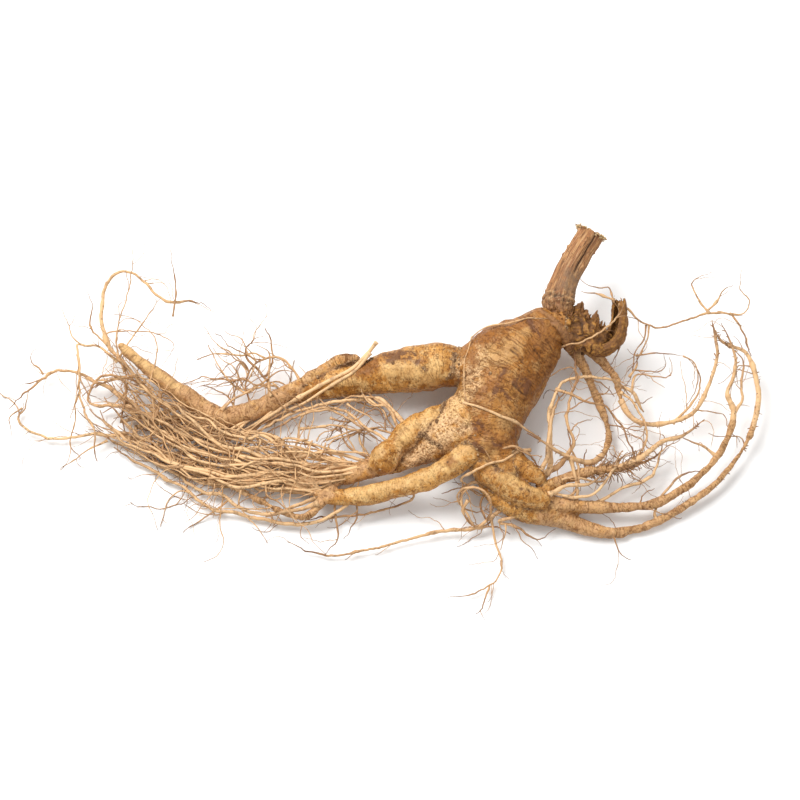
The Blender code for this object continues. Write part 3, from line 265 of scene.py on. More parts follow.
# Threads that lie on the skin, or stand just off it
THREADS = read_routes("""
-83 -58 7 1, -91 -60 7.5 0.9, -98.5 -61.5 7.5 0.9, -106 -63 6.5 0.8;
-57.7 12.1 23 0.6, -62.1 7.3 20 0.95, -68.1 2 17.5 0.9, -75.1 -1.5 14 0.85, -83.9 -5.2 12.5 0.8,
-90.5 -8.5 11 0.8, -98 -12.5 8.6 0.75, -105 -17 7.6 0.7, -114 -22 7 0.6, -123 -26.5 6.4 0.5;
-60.5 7.8 21 0.7, -66.5 1.2 18 0.7, -73 -2.8 15 0.7, -81.5 -6.8 12 0.65, -89.5 -11.5 10 0.6,
-99 -15.5 8 0.55, -109 -21 7 0.5;
-104 -8.5 7 0.6, -105.5 -3 9.5 0.5, -105 5 11.5 0.5, -105.5 11.5 12.5 0.4, -111 14.5 13 0.35;
-126 -14.5 6.5 0.6, -121.5 -10 9 0.5, -115 -7 10.5 0.5, -108 -2.5 11 0.4, -100.5 3 11 0.4, -94 3 10 0.3;
-20 -18 27.4 0.5, -13 -21.2 29 0.6, -4.3 -25 30 0.65, 2.2 -27 29 0.7, 8 -30.5 26.5 0.75, 13.5 -33.5 25 0.8;
17 -55.5 12 0.9, 24.5 -51.5 14.5 0.9, 34 -51 15 0.8, 40.5 -46.5 15 0.7;
-16.1 13.8 24 0.2, -13.3 16 25 0.24, -9.6 17.6 27 0.3, -5.9 18.2 28 0.34, -1.3 18.4 29 0.36,
3.6 19.2 30 0.36, 8.5 20.4 30.5 0.36, 13.5 19.6 31 0.36, 18.4 19.6 31 0.34, 22.4 19 30 0.3;
-16.2 13.4 26 0.2, -17.5 7.9 26 0.22, -19.2 2.7 26 0.24, -19.6 -4.4 26 0.26, -19.5 -11.6 27 0.28,
-18.5 -17 27 0.3, -15.3 -22 28 0.34
""")

# Rootlets that cross the gaps under the arm, at the right and under the hips
STRAYS = read_routes("""
-91.3 -18.4 12 0.5, -85.6 -16.4 13 0.5, -79 -15.9 14 0.5, -74.6 -17.3 14 0.5, -69.8 -20.5 14 0.5,
-64.1 -25.2 14 0.5, -55.8 -30.6 15 0.5;
-64.2 -9.1 12 0.7, -59.8 -11.8 13 0.7, -56.3 -15.5 13 0.65, -53.2 -20.1 14 0.6, -49.2 -25.6 14 0.6;
-70.7 -13.2 13 0.4, -64.1 -17.7 14 0.4, -58 -22.3 15 0.4, -54.5 -26 15 0.4;
-78.2 -19.3 12 0.45, -72 -21.2 12 0.45, -66.8 -20.6 13 0.45, -61.9 -17.7 14 0.4, -58 -15.4 14 0.4,
-55.4 -17.7 14 0.4, -52.7 -25.5 15 0.4;
-91.3 -23.7 10 0.55, -85.6 -23.3 10 0.55, -79.9 -22.7 11 0.55, -75.1 -23.1 12 0.5, -68 -24.8 13 0.5,
-61 -27.5 14 0.5, -55.3 -31.1 15 0.5;
-79.9 -28.9 10 0.45, -72 -26.4 11 0.45, -64.1 -24.5 12 0.45, -54.5 -24.3 13 0.4, -48.4 -26.1 14 0.4;
60.7 21.2 20 0.35, 59.8 15.4 18 0.35, 55.8 10.1 16 0.3, 54.9 4.3 15 0.3, 53 -2.3 14 0.3, 50.9 -7.7 12 0.3;
54.9 2.3 14 0.3, 60.6 1.9 14 0.3, 67.7 2.3 14 0.3, 69.9 5.7 15 0.25, 68.6 9.1 16 0.25;
77.1 8.9 14 0.3, 81.8 6.1 14 0.3, 83.4 0.9 14 0.3, 81.5 -8.1 13 0.3, 77.5 -13.8 12 0.3;
-8.9 -31.7 22 0.6, -5.6 -38.2 25 0.6, 1.4 -36.9 25 0.6, 6.2 -38 23 0.6, 10.2 -40.2 20 0.7,
13.7 -44.5 18 0.7;
13.7 -45.1 17 0.9, 16.7 -38.9 19 1, 17.2 -31.4 20 1, 18.2 -23.5 21 0.9, 20.9 -15.6 21 0.8, 25 -10.2 20 0.7;
22.1 -56.5 10 0.7, 27.6 -54.4 12 0.7, 30.3 -49.1 14 0.7, 29.4 -41.5 16 0.6, 26.8 -34.4 18 0.6,
25.2 -27.4 19 0.5;
15.4 -52.8 14 0.6, 20.2 -49.9 15 0.6, 25.9 -48.1 15 0.6, 32 -47.8 14 0.6, 39.5 -49.4 12 0.6,
45.2 -45.2 12 0.5;
-18 -57.2 12 0.7, -20.1 -61.2 9 0.7, -17.9 -65.2 6 0.6, -12.3 -67.7 5 0.6, -5.3 -67.2 5 0.5,
0.4 -70.1 4 0.4;
-20.6 -54.6 14 0.6, -17.2 -52.9 17 0.6, -12 -54.1 18 0.6, -8.5 -58 16 0.6, -8 -62.3 11 0.6,
-11 -65.7 6 0.6, -17 -68.3 4 0.5;
-15.4 -52.9 17 0.5, -20.6 -53.5 16 0.5, -22.8 -56.2 12 0.5, -20.1 -59.5 8 0.5, -14.4 -60.7 6 0.5,
-8.8 -59.5 8 0.5
""")

# The finest hairs, which stand out past the rootlets
HAIRS = read_routes("""
-148 28 13 0.3, -147 38 15 0.3, -147.5 47 17 0.25, -149 53 18.5 0.25, -150 59 20 0.2;
-205 3 6.5 0.3, -207 6 7.5 0.3, -209 7 8.5 0.25, -210.5 9.5 9.5 0.25, -209.5 12.5 10.5 0.2, -207 13 11 0.2;
-204 1.5 6 0.3, -211 -1 6 0.25, -216 -3 6.5 0.2;
-214 -12 4.6 0.3, -219.5 -17 4.6 0.25, -218.5 -25 4.2 0.2;
-176 -27 4 0.4, -184 -31 3.6 0.35, -191 -36.5 3.4 0.3, -197 -40 3.2 0.2;
45 -69 5 0.35, 46.5 -75 4 0.3, 49 -79.5 3.4 0.25, 53 -81.5 3 0.2;
46.3 28.5 28 0.3, 45 32.5 28.5 0.28, 43.8 35.6 29 0.27, 39.8 34.9 29.5 0.26, 35.8 36.2 30 0.26,
31.9 39 30 0.24;
46.8 29.9 28 0.34, 42.8 31.1 28.5 0.34, 38 32.3 29 0.32, 34.9 32.3 29 0.32, 31.9 33.5 29 0.3;
49 20 24 0.35, 49.5 14.5 21 0.3, 47.5 8 17.5 0.3, 44.5 4 15 0.25;
88 29 17 0.4, 92.5 33 18 0.35, 95 38 19 0.3, 100.5 40 20 0.2;
62 21 21 0.35, 61 14 19 0.3, 57 7 17 0.25, 52.5 1.5 15 0.25;
56 8 17 0.35, 64 9 17 0.3, 70 8.5 17 0.25, 76.5 8 17 0.2;
53 -1 14 0.35, 56.5 3.5 16 0.3, 57 9 18 0.25
""")

# The dead stalk, with the node ring at its foot
STALK = read_route("""
22.2 23 24 5.6, 22.2 26 24.8 6, 22 29 25.6 6.9, 22.6 32 26.4 7.1, 24 36.5 27.4 6.4, 26.5 42.5 28.6 6.1,
29.5 48 29.5 6, 32.4 53 30.4 5.8, 35 57 31 5.9, 37 61 31.7 6.2
""")

# Lumps and dents of the neck, as (x, y, height, radius)
NECK_LUMPS = read_route("""
29 20.5 25.5 4.2, 35 17 23.5 5.2, 37.5 11 20.5 4.8, 27.5 15 23.5 3.6, 41 15 21 3.6, 31 13 20 4.2,
33 23 23.5 3, 25.5 20 26 3.2
""")
NECK_DENTS = read_route("""
32.5 19.5 29.5 1.8, 36.2 18 28.8 2.2, 31 16.5 28.5 1.6, 33.5 12.5 25.5 1.8, 40 12 25 1.6, 28 18 29 1.4
""")

# The large flakes on the neck: their foot, heading, length and half width
FLAKES = [((29, 25, 25.5), (0.5, 1, 0.35), 5.5, 1.9), ((31.5, 25.5, 25), (0.7, 0.8, 0.3), 5, 1.5),
          ((34, 24, 24.5), (0.2, 1, 0.3), 4.5, 1.4), ((37, 22, 24), (0.5, 0.9, 0.3), 5, 1.2),
          ((39, 21, 23.5), (0.1, 1, 0.5), 5.2, 1.0), ((27, 24.5, 27), (0.6, 0.9, 0.1), 4, 1.3),
          ((40.5, 19, 22.5), (-0.3, 0.9, 0.5), 4, 1.0), ((42, 17, 21.5), (0.2, 0.8, 0.8), 4, 1.1)]


class Stain(Enum):
    """What a patch of the skin is coloured by, named as its attribute."""

    RUSSET = "russet"
    PURPLE = "purple"
    # Paler skin and painted highlight along the tops of the members
    PALE = "pale"
    GRANULES = "granules"
    SOIL = "soil"
    BARK = "bark"


def read_patches(text: str) -> list[tuple[float, list[Place]]]:
    """Stains, each as its size, a colon and its path."""
    parts = [line.split(":") for line in text.split(";")]
    return [(float(size), read_route(path)) for size, path in parts]


# The members with bark, from which point of their route on, and how far round it
BARKED = {"arm": (9, 11), "arm_rider": (0, 4), "right_leg": (4, 8), "second_right_leg": (1, 6),
          "third_right_leg": (1, 6), "crown_root": (0, 6), "second_crown_root": (0, 6), "middle_toe": (1,
          6), "kinked_toe": (0, 5)}
# The stains of each kind, as their size and the path that they are spread along
PATCHES = {
    Stain.RUSSET: read_patches("""
9: 15.5 10 31, 21 15 30;
7: 19 3 24.5, 13.5 -6 24.5, 8 -13 27.5;
5: 11 3 31, 13 17 31;
3.5: -26 -43 25;
5: 6 -28 24, 2 -35 24, -9 -36 28;
4: -14 -31 29, -10 -33 29.5;
4: 9.3 19.2 30, 3 17 31, -4 15 29;
4: -58 2 20, -63 1 18;
3.2: -4 -8.5 32.5, -9 -12 32.5, -13.5 -15 30.5
"""),
    Stain.PURPLE: read_patches("""
2.4: -14.2 -27.7 29, -13 -30 29;
2.2: 9.3 19.2 30, 12 12 31.5;
1.8: -0.7 -16.9 31, -4.2 -12.3 31.5;
3.6: 4 -9.5 30.5, 7 -11 28.5;
1.6: -6.5 -14.5 31.5, -2 -4.5 32.5;
4.6: -54 6 21.5, -48 6 23, -43.5 5.5 24;
2.6: -39.5 2.5 25.5;
1.8: -17 -35 27, -14.5 -37 27, -11.5 -40 26;
2: -37 -1 25;
3: 5 -57 12, -1 -55 15;
2.4: -70 10 16, -76 11 16, -80 8 14;
1.5: -7.3 -35.4 27.5, -4.7 -37.2 26;
1.8: -2.6 -51.9 21, -5.6 -46.8 22;
1.3: 4.8 -55 20.5
"""),
    # Along the tops of the members: paler skin and painted highlight
    Stain.PALE: read_patches("""
1.6: -18.1 -24.1 28.5, -17.2 -25.4 29;
3.5: 7.5 13 32;
5.5: -5 1.5 32.5, -1.5 2 33.5, 1 7 33;
5: -8.5 5.5 30, -9.5 0 30.5;
5.5: -52 -1 22.5, -45.5 -2.5 24, -39 -3.5 24, -32.5 -2.5 24.5;
1.7: -68 -3.5 16.5;
1.6: -18.5 -27 28;
5: -2 -26 28;
4.5: -56 -38 19;
3.2: -76 -3.5 16, -69.4 -5.7 18, -64.1 -6.6 18;
5: -26.6 -5.5 25, -20.6 -14.1 27, -23.6 -20.7 26;
2.6: -146 -4 11, -158 4 14, -170 13.5 16;
3: -11.2 -35.1 29, -6.9 -40.3 27;
3: 9.5 -56.2 20, 1.8 -49.1 22;
5: -19 -39 26.5, -35 -48.5 22, -52 -52.5 17.5, -66 -54.5 14;
4: -32 -20 22, -41 -26 21.5, -48 -33 20;
4.5: -2 -50 23, 6 -53.5 21.5, 12 -54.5 19
"""),
    Stain.GRANULES: read_patches("""
6.5: -20.5 -2 25, -17 -10 28.5, -19.5 -14 27.5;
5: -13.5 -3.5 29, -11 4 29;
8: -23.5 -15.5 24.5, -26 -25.5 26, -30 -33 22.5;
6: -21.5 -28 26, -34.5 -28 20.5;
6.5: -30 -33 22, -36 -36.5 18.5, -43 -39 14
"""),
    Stain.SOIL: read_patches("""
1.7: -23.5 5 25, -25 -2.5 24, -27 -7 20, -27.5 -14 20, -29.5 -22 21.5, -31.5 -26.5 21.5;
1.8: -41 -28.5 18.5, -38 -29.5 19.5, -34.5 -31.5 20, -30 -35.5 20.5;
1.5: -12 -42.5 23, -14 -46 19;
1.8: 24.5 12 26, 25 17 28.5, 24.5 21 29;
1.6: -60 5.5 18, -66 5 16, -74 4.5 14
"""),
    Stain.BARK: [(size, FLESH[name][first:]) for name, (first, size) in BARKED.items()],
}


@dataclass(frozen=True)
class Crease:
    """A line pressed into the skin, darkened along its length with painted shade."""

    path: Sequence[Place]
    depth: float = 0.4
    width: float = 0.42


CREASES = [
    Crease(read_route("0.5 4.5 33.5, 3.5 2 33, 5.5 -1 32.5, 7.5 -3 31, 9 -5 29.5"), 0.5),
    Crease(read_route("2 5.5 33.3, 5 2.8 32.8, 7 0 31.8, 9 -2.5 30.2"), 0.25, 0.35),
    Crease(read_route("11 5 31.5, 13 3 29.5, 14.5 1 27.5")),
    Crease(read_route("16 10 30.5, 17.5 8.5 29, 19 6 27.5")),
    Crease(read_route("4 -4.5 32, 7 -6 30, 9 -7.5 28")),
    Crease(read_route("1.5 -11 31.5, 4 -13 29.5, 7 -15 27.5")),
    Crease(read_route("-66 2 17, -66.5 -1 17, -66 -4 15.5, -63 -5.5 13.5"), 0.35),
    Crease(read_route("-24 6 24.5, -22.5 0 26, -21 -8 27.5, -21.5 -16 26.5"), 0.3, 0.5),
    Crease(read_route("7.5 -54 22, 9 -57.5 18, 8 -59.5 14"), 0.6, 0.6),
]

# Pits in the skin, as (x, y, height, radius)
PITS = read_route("""
-50.5 2 23.5 1.1, -37 -1 25 1.3, -56 -44 16 1.3, -46 4 24 0.8, -27 -44 24.5 0.8, -15 -33 28 1, 6 0 33 0.8,
-8 -6 32 0.9, 2 -20 29 0.9, -58 -52.5 14 0.9, 26 -64 10 0.8, 8 -61 13 0.9
""")

# Raised scars on the skin, as (x, y, height, radius)
SCARS = read_route("""
-14.5 -26.5 30 4, -18.5 -27 28 1.6, -68 -3.5 16.5 1.7, -21.5 -22 27 2, 12.5 -55 19 2.6, -28.5 -44 24 2.4
""")


def vectors(path: Sequence[Place]) -> Array:
    """The places of a path as rows of floats."""
    return np.array(path, dtype=float)


def unit(vector: Array) -> Array:
    """A vector's direction, as long as 1."""
    return vector / np.linalg.norm(vector)


def unit_rows(rows: Array) -> Array:
    """The direction of each row, as long as 1."""
    return rows / np.maximum(np.linalg.norm(rows, axis=1), 1e-9)[:, None]


def gauss(draw: random.Random, *spreads: float) -> Array:
    """A random vector with its own spread along each axis."""
    return np.array([draw.gauss(0, spread) for spread in spreads])


def leaning(forward: Array, sideways: Array, degrees: float) -> Array:
    """The direction that leans from `forward` towards `sideways`."""
    return forward * math.cos(math.radians(degrees)) + sideways * math.sin(math.radians(degrees))


def smooth_route(points: Sequence[Place], spacing: float) -> Array:
    """A smooth curve through a route's points.

    Args:
        points: The route's own points.
        spacing: How far apart the new points are, in millimetres.

    Returns:
        The curve's points, one a row, with the columns of the route's.
    """
    path = vectors(points)
    path = np.vstack([2 * path[0] - path[1], path, 2 * path[-1] - path[-2]])
    stretches = []
    for before, start, end, after in zip(path, path[1:], path[2:], path[3:]):
        steps = max(1, round(float(np.linalg.norm(end[:3] - start[:3])) / spacing))
        t = np.arange(steps)[:, None] / steps
        straight = 2 * start + (end - before) * t
        curved = (2 * before - 5 * start + 4 * end - after) * t ** 2
        stretches.append((straight + curved + (3 * start - before - 3 * end + after) * t ** 3) / 2)
    return np.vstack([*stretches, path[-2:-1]])


def run_length(route: Array) -> Array:
    """The length along a route up to each of its points."""
    return np.concatenate([[0.0], np.cumsum(np.linalg.norm(np.diff(route[:, :3], axis=0), axis=1))])


def tangents(route: Array) -> Array:
    """The direction of a route at each of its points."""
    return unit_rows(np.gradient(route[:, :3], axis=0))


def noise_at(places: Array, size: float, offset: float = 0.0) -> Array:
    """Smooth noise from about -1 to 1 at each place, with lumps about `size` across."""
    return np.array([noise.noise(place) for place in (places / size + offset).tolist()])


def noise_along(length: Array, size: float, offset: float = 0.0, key: float = 0.0,
                axis: float = 0.0) -> Array:
    """Smooth noise along a line, which `key` and `axis` tell from that of other lines."""
    lines = np.column_stack([length, np.full_like(length, key), np.full_like(length, axis)])
    return noise_at(lines, size, offset)


def ramp(values: Array, low: float, high: float) -> Array:
    """Values eased from 0 at `low` to 1 at `high`."""
    share = np.clip((values - low) / (high - low), 0, 1)
    return share * share * (3 - 2 * share)


def bell(values: Array, width: float) -> Array:
    """1 where a value is 0, falling off over `width` on both sides."""
    return np.exp(-(values / width) ** 2)


def path_distance(places: Array, path: Sequence[Place]) -> Array:
    """How far each place is from the nearest point of a path, which may be one place alone."""
    corners = vectors(path)[:, :3]
    nearest = np.linalg.norm(places - corners[0], axis=1)
    for start, end in zip(corners, corners[1:]):
        run = end - start
        share = np.clip((places - start) @ run / (run @ run), 0, 1)
        nearest = np.minimum(nearest, np.linalg.norm(places - start - share[:, None] * run, axis=1))
    return nearest


def spot(places: Array, middle: Place, inner: float = 0.0, outer: float = 1.0) -> Array:
    """1 inside a round spot, eased to 0 at its rim.

    Args:
        places: The places, one a row.
        middle: The spot, as (x, y, height, radius).
        inner: The share of its radius where it starts to fade.
        outer: The share of its radius where it has faded.

    Returns:
        One number a place.
    """
    return ramp(-path_distance(places, [middle]), -outer * middle[3], -inner * middle[3])


def rounded_ends(route: Array, angles: Sequence[float] = (35, 62, 82)) -> Array:
    """The route with each end carried on as a dome of the end's radius."""
    turns = np.radians(angles)[:, None]
    ends = []
    for tip, inner in ((route[0], route[1]), (route[-1], route[-2])):
        outward = unit(tip[:3] - inner[:3])
        ends.append(np.hstack([tip[:3] + outward * tip[3] * np.sin(turns), tip[3] * np.cos(turns)]))
    return np.vstack([ends[0][::-1], route, ends[1]])


def activate(thing: Object) -> None:
    """Select one object alone and make it the active one."""
    bpy.ops.object.select_all(action="DESELECT")
    thing.select_set(True)
    bpy.context.view_layer.objects.active = thing


def added(name: str, operator: Any, **settings: Any) -> Object:
    """What an operator adds while nothing is selected, under a name of its own."""
    bpy.ops.object.select_all(action="DESELECT")
    operator(**settings)
    thing = bpy.context.object
    thing.name = thing.data.name = name
    return thing


def apply_modifiers(thing: Object) -> None:
    """Apply all the modifiers of an object in order."""
    activate(thing)
    for modifier in list(thing.modifiers):
        bpy.ops.object.modifier_apply(modifier=modifier.name)


def blend(thing: Object, voxel: float, rounds: int) -> None:
    """Run crossing shapes together into one skin.

    Args:
        thing: The object that holds them.
        voxel: How wide the skin's faces are, in millimetres.
        rounds: How often it is smoothed.
    """
    remesh = thing.modifiers.new("blend", "REMESH")
    remesh.mode = "VOXEL"
    remesh.voxel_size = voxel * MM
    thing.modifiers.new("relax", "SMOOTH").iterations = rounds
    apply_modifiers(thing)


def coordinates(mesh: Mesh) -> Array:
    """A mesh's vertices in millimetres, one a row."""
    flat = np.empty(len(mesh.vertices) * 3)
    mesh.vertices.foreach_get("co", flat)
    return flat.reshape(-1, 3) / MM


def set_coordinates(mesh: Mesh, places: Array) -> None:
    """Move a mesh's vertices to places in millimetres."""
    mesh.vertices.foreach_set("co", (places * MM).ravel())
    mesh.update()


def vertex_normals(mesh: Mesh) -> Array:
    """A mesh's vertex normals, one a row."""
    flat = np.empty(len(mesh.vertices) * 3)
    mesh.vertices.foreach_get("normal", flat)
    return flat.reshape(-1, 3)


def set_attributes(mesh: Mesh, **layers: Array) -> None:
    """Store one number a vertex under each name, for a material to read."""
    for name, values in layers.items():
        layer = mesh.attributes.get(name) or mesh.attributes.new(name, "FLOAT", "POINT")
        layer.data.foreach_set("value", np.ascontiguousarray(values, dtype=np.float32))


def relaxed(mesh: Mesh, places: Array, rounds: int) -> Array:
    """The places that a mesh's vertices take if each drifts towards its neighbours for some rounds."""
    flat = np.empty(len(mesh.edges) * 2, dtype=np.int64)
    mesh.edges.foreach_get("vertices", flat)
    first, second = flat.reshape(-1, 2).T
    size = len(places)
    count = np.bincount(flat, minlength=size).astype(float)[:, None]
    for _ in range(rounds):
        around = np.empty_like(places)
        for axis in range(3):
            around[:, axis] = np.bincount(first, weights=places[second, axis], minlength=size)
            around[:, axis] += np.bincount(second, weights=places[first, axis], minlength=size)
        places = (places + around / count) / 2
    return places


def hollowness(mesh: Mesh, rounds: int) -> Array:
    """How deep each vertex lies in a fold, in millimetres, with the tops of bumps below zero."""
    places = coordinates(mesh)
    return np.sum((relaxed(mesh, places, rounds) - places) * vertex_normals(mesh), axis=1)


def close_ends(mesh: Mesh) -> None:
    """Close every open rim and turn the faces outwards."""
    shape = bmesh.new()
    shape.from_mesh(mesh)
    bmesh.ops.holes_fill(shape, edges=[edge for edge in shape.edges if edge.is_boundary])
    bmesh.ops.recalc_face_normals(shape, faces=shape.faces)
    shape.to_mesh(mesh)
    shape.free()


def new_curve(name: str, dimensions: str, lines: Sequence[Array]) -> Object:
    """A curve object with straight lines through places in millimetres, linked to the scene."""
    curve = bpy.data.curves.new(name, "CURVE")
    curve.dimensions = dimensions
    for places in lines:
        points = curve.splines.new("POLY").points
        points.add(len(places) - 1)
        points.foreach_set("co", np.column_stack([places[:, :3] * MM, np.ones(len(places))]).ravel())
        points.foreach_set("radius", places[:, 3].copy())
    thing = bpy.data.objects.new(name, curve)
    bpy.context.scene.collection.objects.link(thing)
    return thing


def sweep(name: str, routes: Sequence[Array], sides: int, flatness: float = 1.0) -> Object:
    """Tubes along several routes, in one closed mesh.

    Each point of each route gives a ring of `sides` vertices, in the order of the points.

    Args:
        name: The name of the new object.
        routes: The routes, each point with its radius.
        sides: How many sides a tube has.
        flatness: The profile's height as a share of its width.

    Returns:
        The new object.
    """
    corners = [2 * math.pi * index / sides for index in range(sides)]
    ring = vectors([(math.cos(corner), flatness * math.sin(corner), 0, 1) for corner in corners])
    profile = new_curve("profile", "2D", [ring])
    profile.data.splines[0].use_cyclic_u = True
    tube = new_curve(name, "3D", routes)
    tube.data.bevel_mode = "OBJECT"
    tube.data.bevel_object = profile
    activate(tube)
    bpy.ops.object.convert(target="MESH")
    bpy.data.objects.remove(profile, do_unlink=True)
    for layer in list(tube.data.uv_layers):
        tube.data.uv_layers.remove(layer)
    close_ends(tube.data)
    return tube


class Signal:
    """One output of a material's nodes, used in sums as if it were a number."""

    def __init__(self, shader: "Shader", socket: NodeSocket) -> None:
        """Wrap an output socket."""
        self.shader = shader
        self.socket = socket

    def _sum(self, operation: str, swapped: bool, other: Any) -> "Signal":
        """A Math node on this and another, the other one first if they are swapped."""
        first, second = (other, self) if swapped else (self, other)
        return self.shader.add("ShaderNodeMath", {"operation": operation}, {0: first, 1: second})

    __add__ = partialmethod(_sum, "ADD", False)
    __radd__ = partialmethod(_sum, "ADD", True)
    __sub__ = partialmethod(_sum, "SUBTRACT", False)
    __rsub__ = partialmethod(_sum, "SUBTRACT", True)
    __mul__ = partialmethod(_sum, "MULTIPLY", False)
    __rmul__ = partialmethod(_sum, "MULTIPLY", True)

    def clamped(self) -> "Signal":
        """This, held between 0 and 1."""
        return self.shader.add("ShaderNodeClamp", {}, {"Value": self})

    def eased(self, low: float, high: float) -> "Signal":
        """This, eased from 0 at `low` to 1 at `high`."""
        sockets = {"Value": self, "From Min": low, "From Max": high}
        return self.shader.add("ShaderNodeMapRange", {"interpolation_type": "SMOOTHSTEP"}, sockets)


class Place3D(Signal):
    """A place on the surface, which can be shifted so that two patterns differ."""

    def __add__(self, other: float) -> Signal:
        """This place, moved by the same distance along each axis."""
        sockets = {0: self, 1: (other, other, other)}
        return self.shader.add("ShaderNodeVectorMath", {"operation": "ADD"}, sockets)


class Shader:
    """The nodes of one material, made from Python expressions."""

    def __init__(self, name: str) -> None:
        """Make a material with a Principled shader."""
        self.material = bpy.data.materials.new(name)
        self.material.use_nodes = True
        self.tree = self.material.node_tree
        self.surface = self.tree.nodes["Principled BSDF"]

    def feed(self, socket: NodeSocket, value: Any) -> None:
        """Link an output to an input socket, or set a plain value on it."""
        if isinstance(value, Signal):
            self.tree.links.new(value.socket, socket)
        else:
            socket.default_value = value

    def add(self, kind: str, settings: dict[str, Any], sockets: dict[Any, Any], output: Any = 0) -> Signal:
        """Add a node.

        Args:
            kind: The node's type.
            settings: Its properties, set first.
            sockets: The value or link of each input that isn't left alone.
            output: Which of its outputs is wanted.

        Returns:
            That output.
        """
        node = self.tree.nodes.new(kind)
        for name, value in settings.items():
            setattr(node, name, value)
        for name, value in sockets.items():
            self.feed(node.inputs[name], value)
        return Signal(self, node.outputs[output])

    def place(self) -> Place3D:
        """The object's own coordinates, in metres."""
        return Place3D(self, self.add("ShaderNodeTexCoord", {}, {}, "Object").socket)

    def warped(self, reach: float) -> Signal:
        """The object's own coordinates, swirled by up to `reach` millimetres."""
        reach *= MM
        swirl = self.add("ShaderNodeTexNoise", {}, {"Vector": self.place(), "Scale": 0.8 / reach}, "Color")
        moved = self.add("ShaderNodeVectorMath", {"operation": "SCALE"}, {0: swirl, "Scale": 2 * reach})
        return self.add("ShaderNodeVectorMath", {"operation": "ADD"}, {0: self.place(), 1: moved})

    def attributes(self, *names: str) -> list[Signal]:
        """Numbers stored on the vertices."""
        return [self.add("ShaderNodeAttribute", {"attribute_name": name}, {}, "Fac") for name in names]

    def paint(self, colour: Any, *coats: tuple[Any, Any]) -> Any:
        """Colours laid over a first one in turn, each by its own factor."""
        for factor, coat in coats:
            colour = self.add("ShaderNodeMix", {"data_type": "RGBA"}, {0: factor, 6: colour, 7: coat}, 2)
        return colour

    def grain(self, size: float, detail: float = 3.0, roughness: float = 0.55, place: Signal | None = None,
              distortion: float = 0.0) -> Signal:
        """Noise from 0 to 1.

        Args:
            size: About how wide its lumps are, in millimetres.
            detail: How many finer layers it has.
            roughness: How strong those are.
            place: Where it is read, the object's coordinates if left out.
            distortion: How far it is swirled.

        Returns:
            The noise.
        """
        sockets = {"Vector": place or self.place(), "Scale": 1 / (size * MM), "Detail": detail,
                   "Roughness": roughness, "Distortion": distortion}
        return self.add("ShaderNodeTexNoise", {}, sockets, "Fac")

    def cells(self, size: float, place: Signal | None = None) -> Signal:
        """Distance to scattered points about `size` millimetres apart."""
        sockets = {"Vector": place or self.place(), "Scale": 1 / (size * MM), "Randomness": 1.0}
        return self.add("ShaderNodeTexVoronoi", {"feature": "F1"}, sockets, "Distance")

    def specks(self, size: float, low: float, high: float, place: Signal | None = None) -> Signal:
        """Scattered round specks: 1 in their middles, eased to 0 from `low` to `high`."""
        return 1 - self.cells(size, place).eased(low, high)

    def stretched(self, *values: Signal) -> Signal:
        """A place made of three numbers."""
        return self.add("ShaderNodeCombineXYZ", {}, dict(enumerate(values)))

    def finish(self, colour: Any, roughness: Any, specular: float, height: Signal | None = None,
               distance: float = 0.0, strength: float = 1.0) -> Material:
        """Feed the Principled shader.

        Args:
            colour: Its base colour.
            roughness: Its roughness.
            specular: How strongly it mirrors.
            height: The relief that its normal follows, from 0 to 1.
            distance: How high 1 is, in millimetres.
            strength: The share of the relief that shows.

        Returns:
            The finished material.
        """
        values = {"Base Color": colour, "Roughness": roughness, "Specular IOR Level": specular}
        if height is not None:
            sockets = {"Height": height, "Distance": distance * MM, "Strength": strength}
            values["Normal"] = self.add("ShaderNodeBump", {}, sockets)
        for name, value in values.items():
            self.feed(self.surface.inputs[name], value)
        return self.material


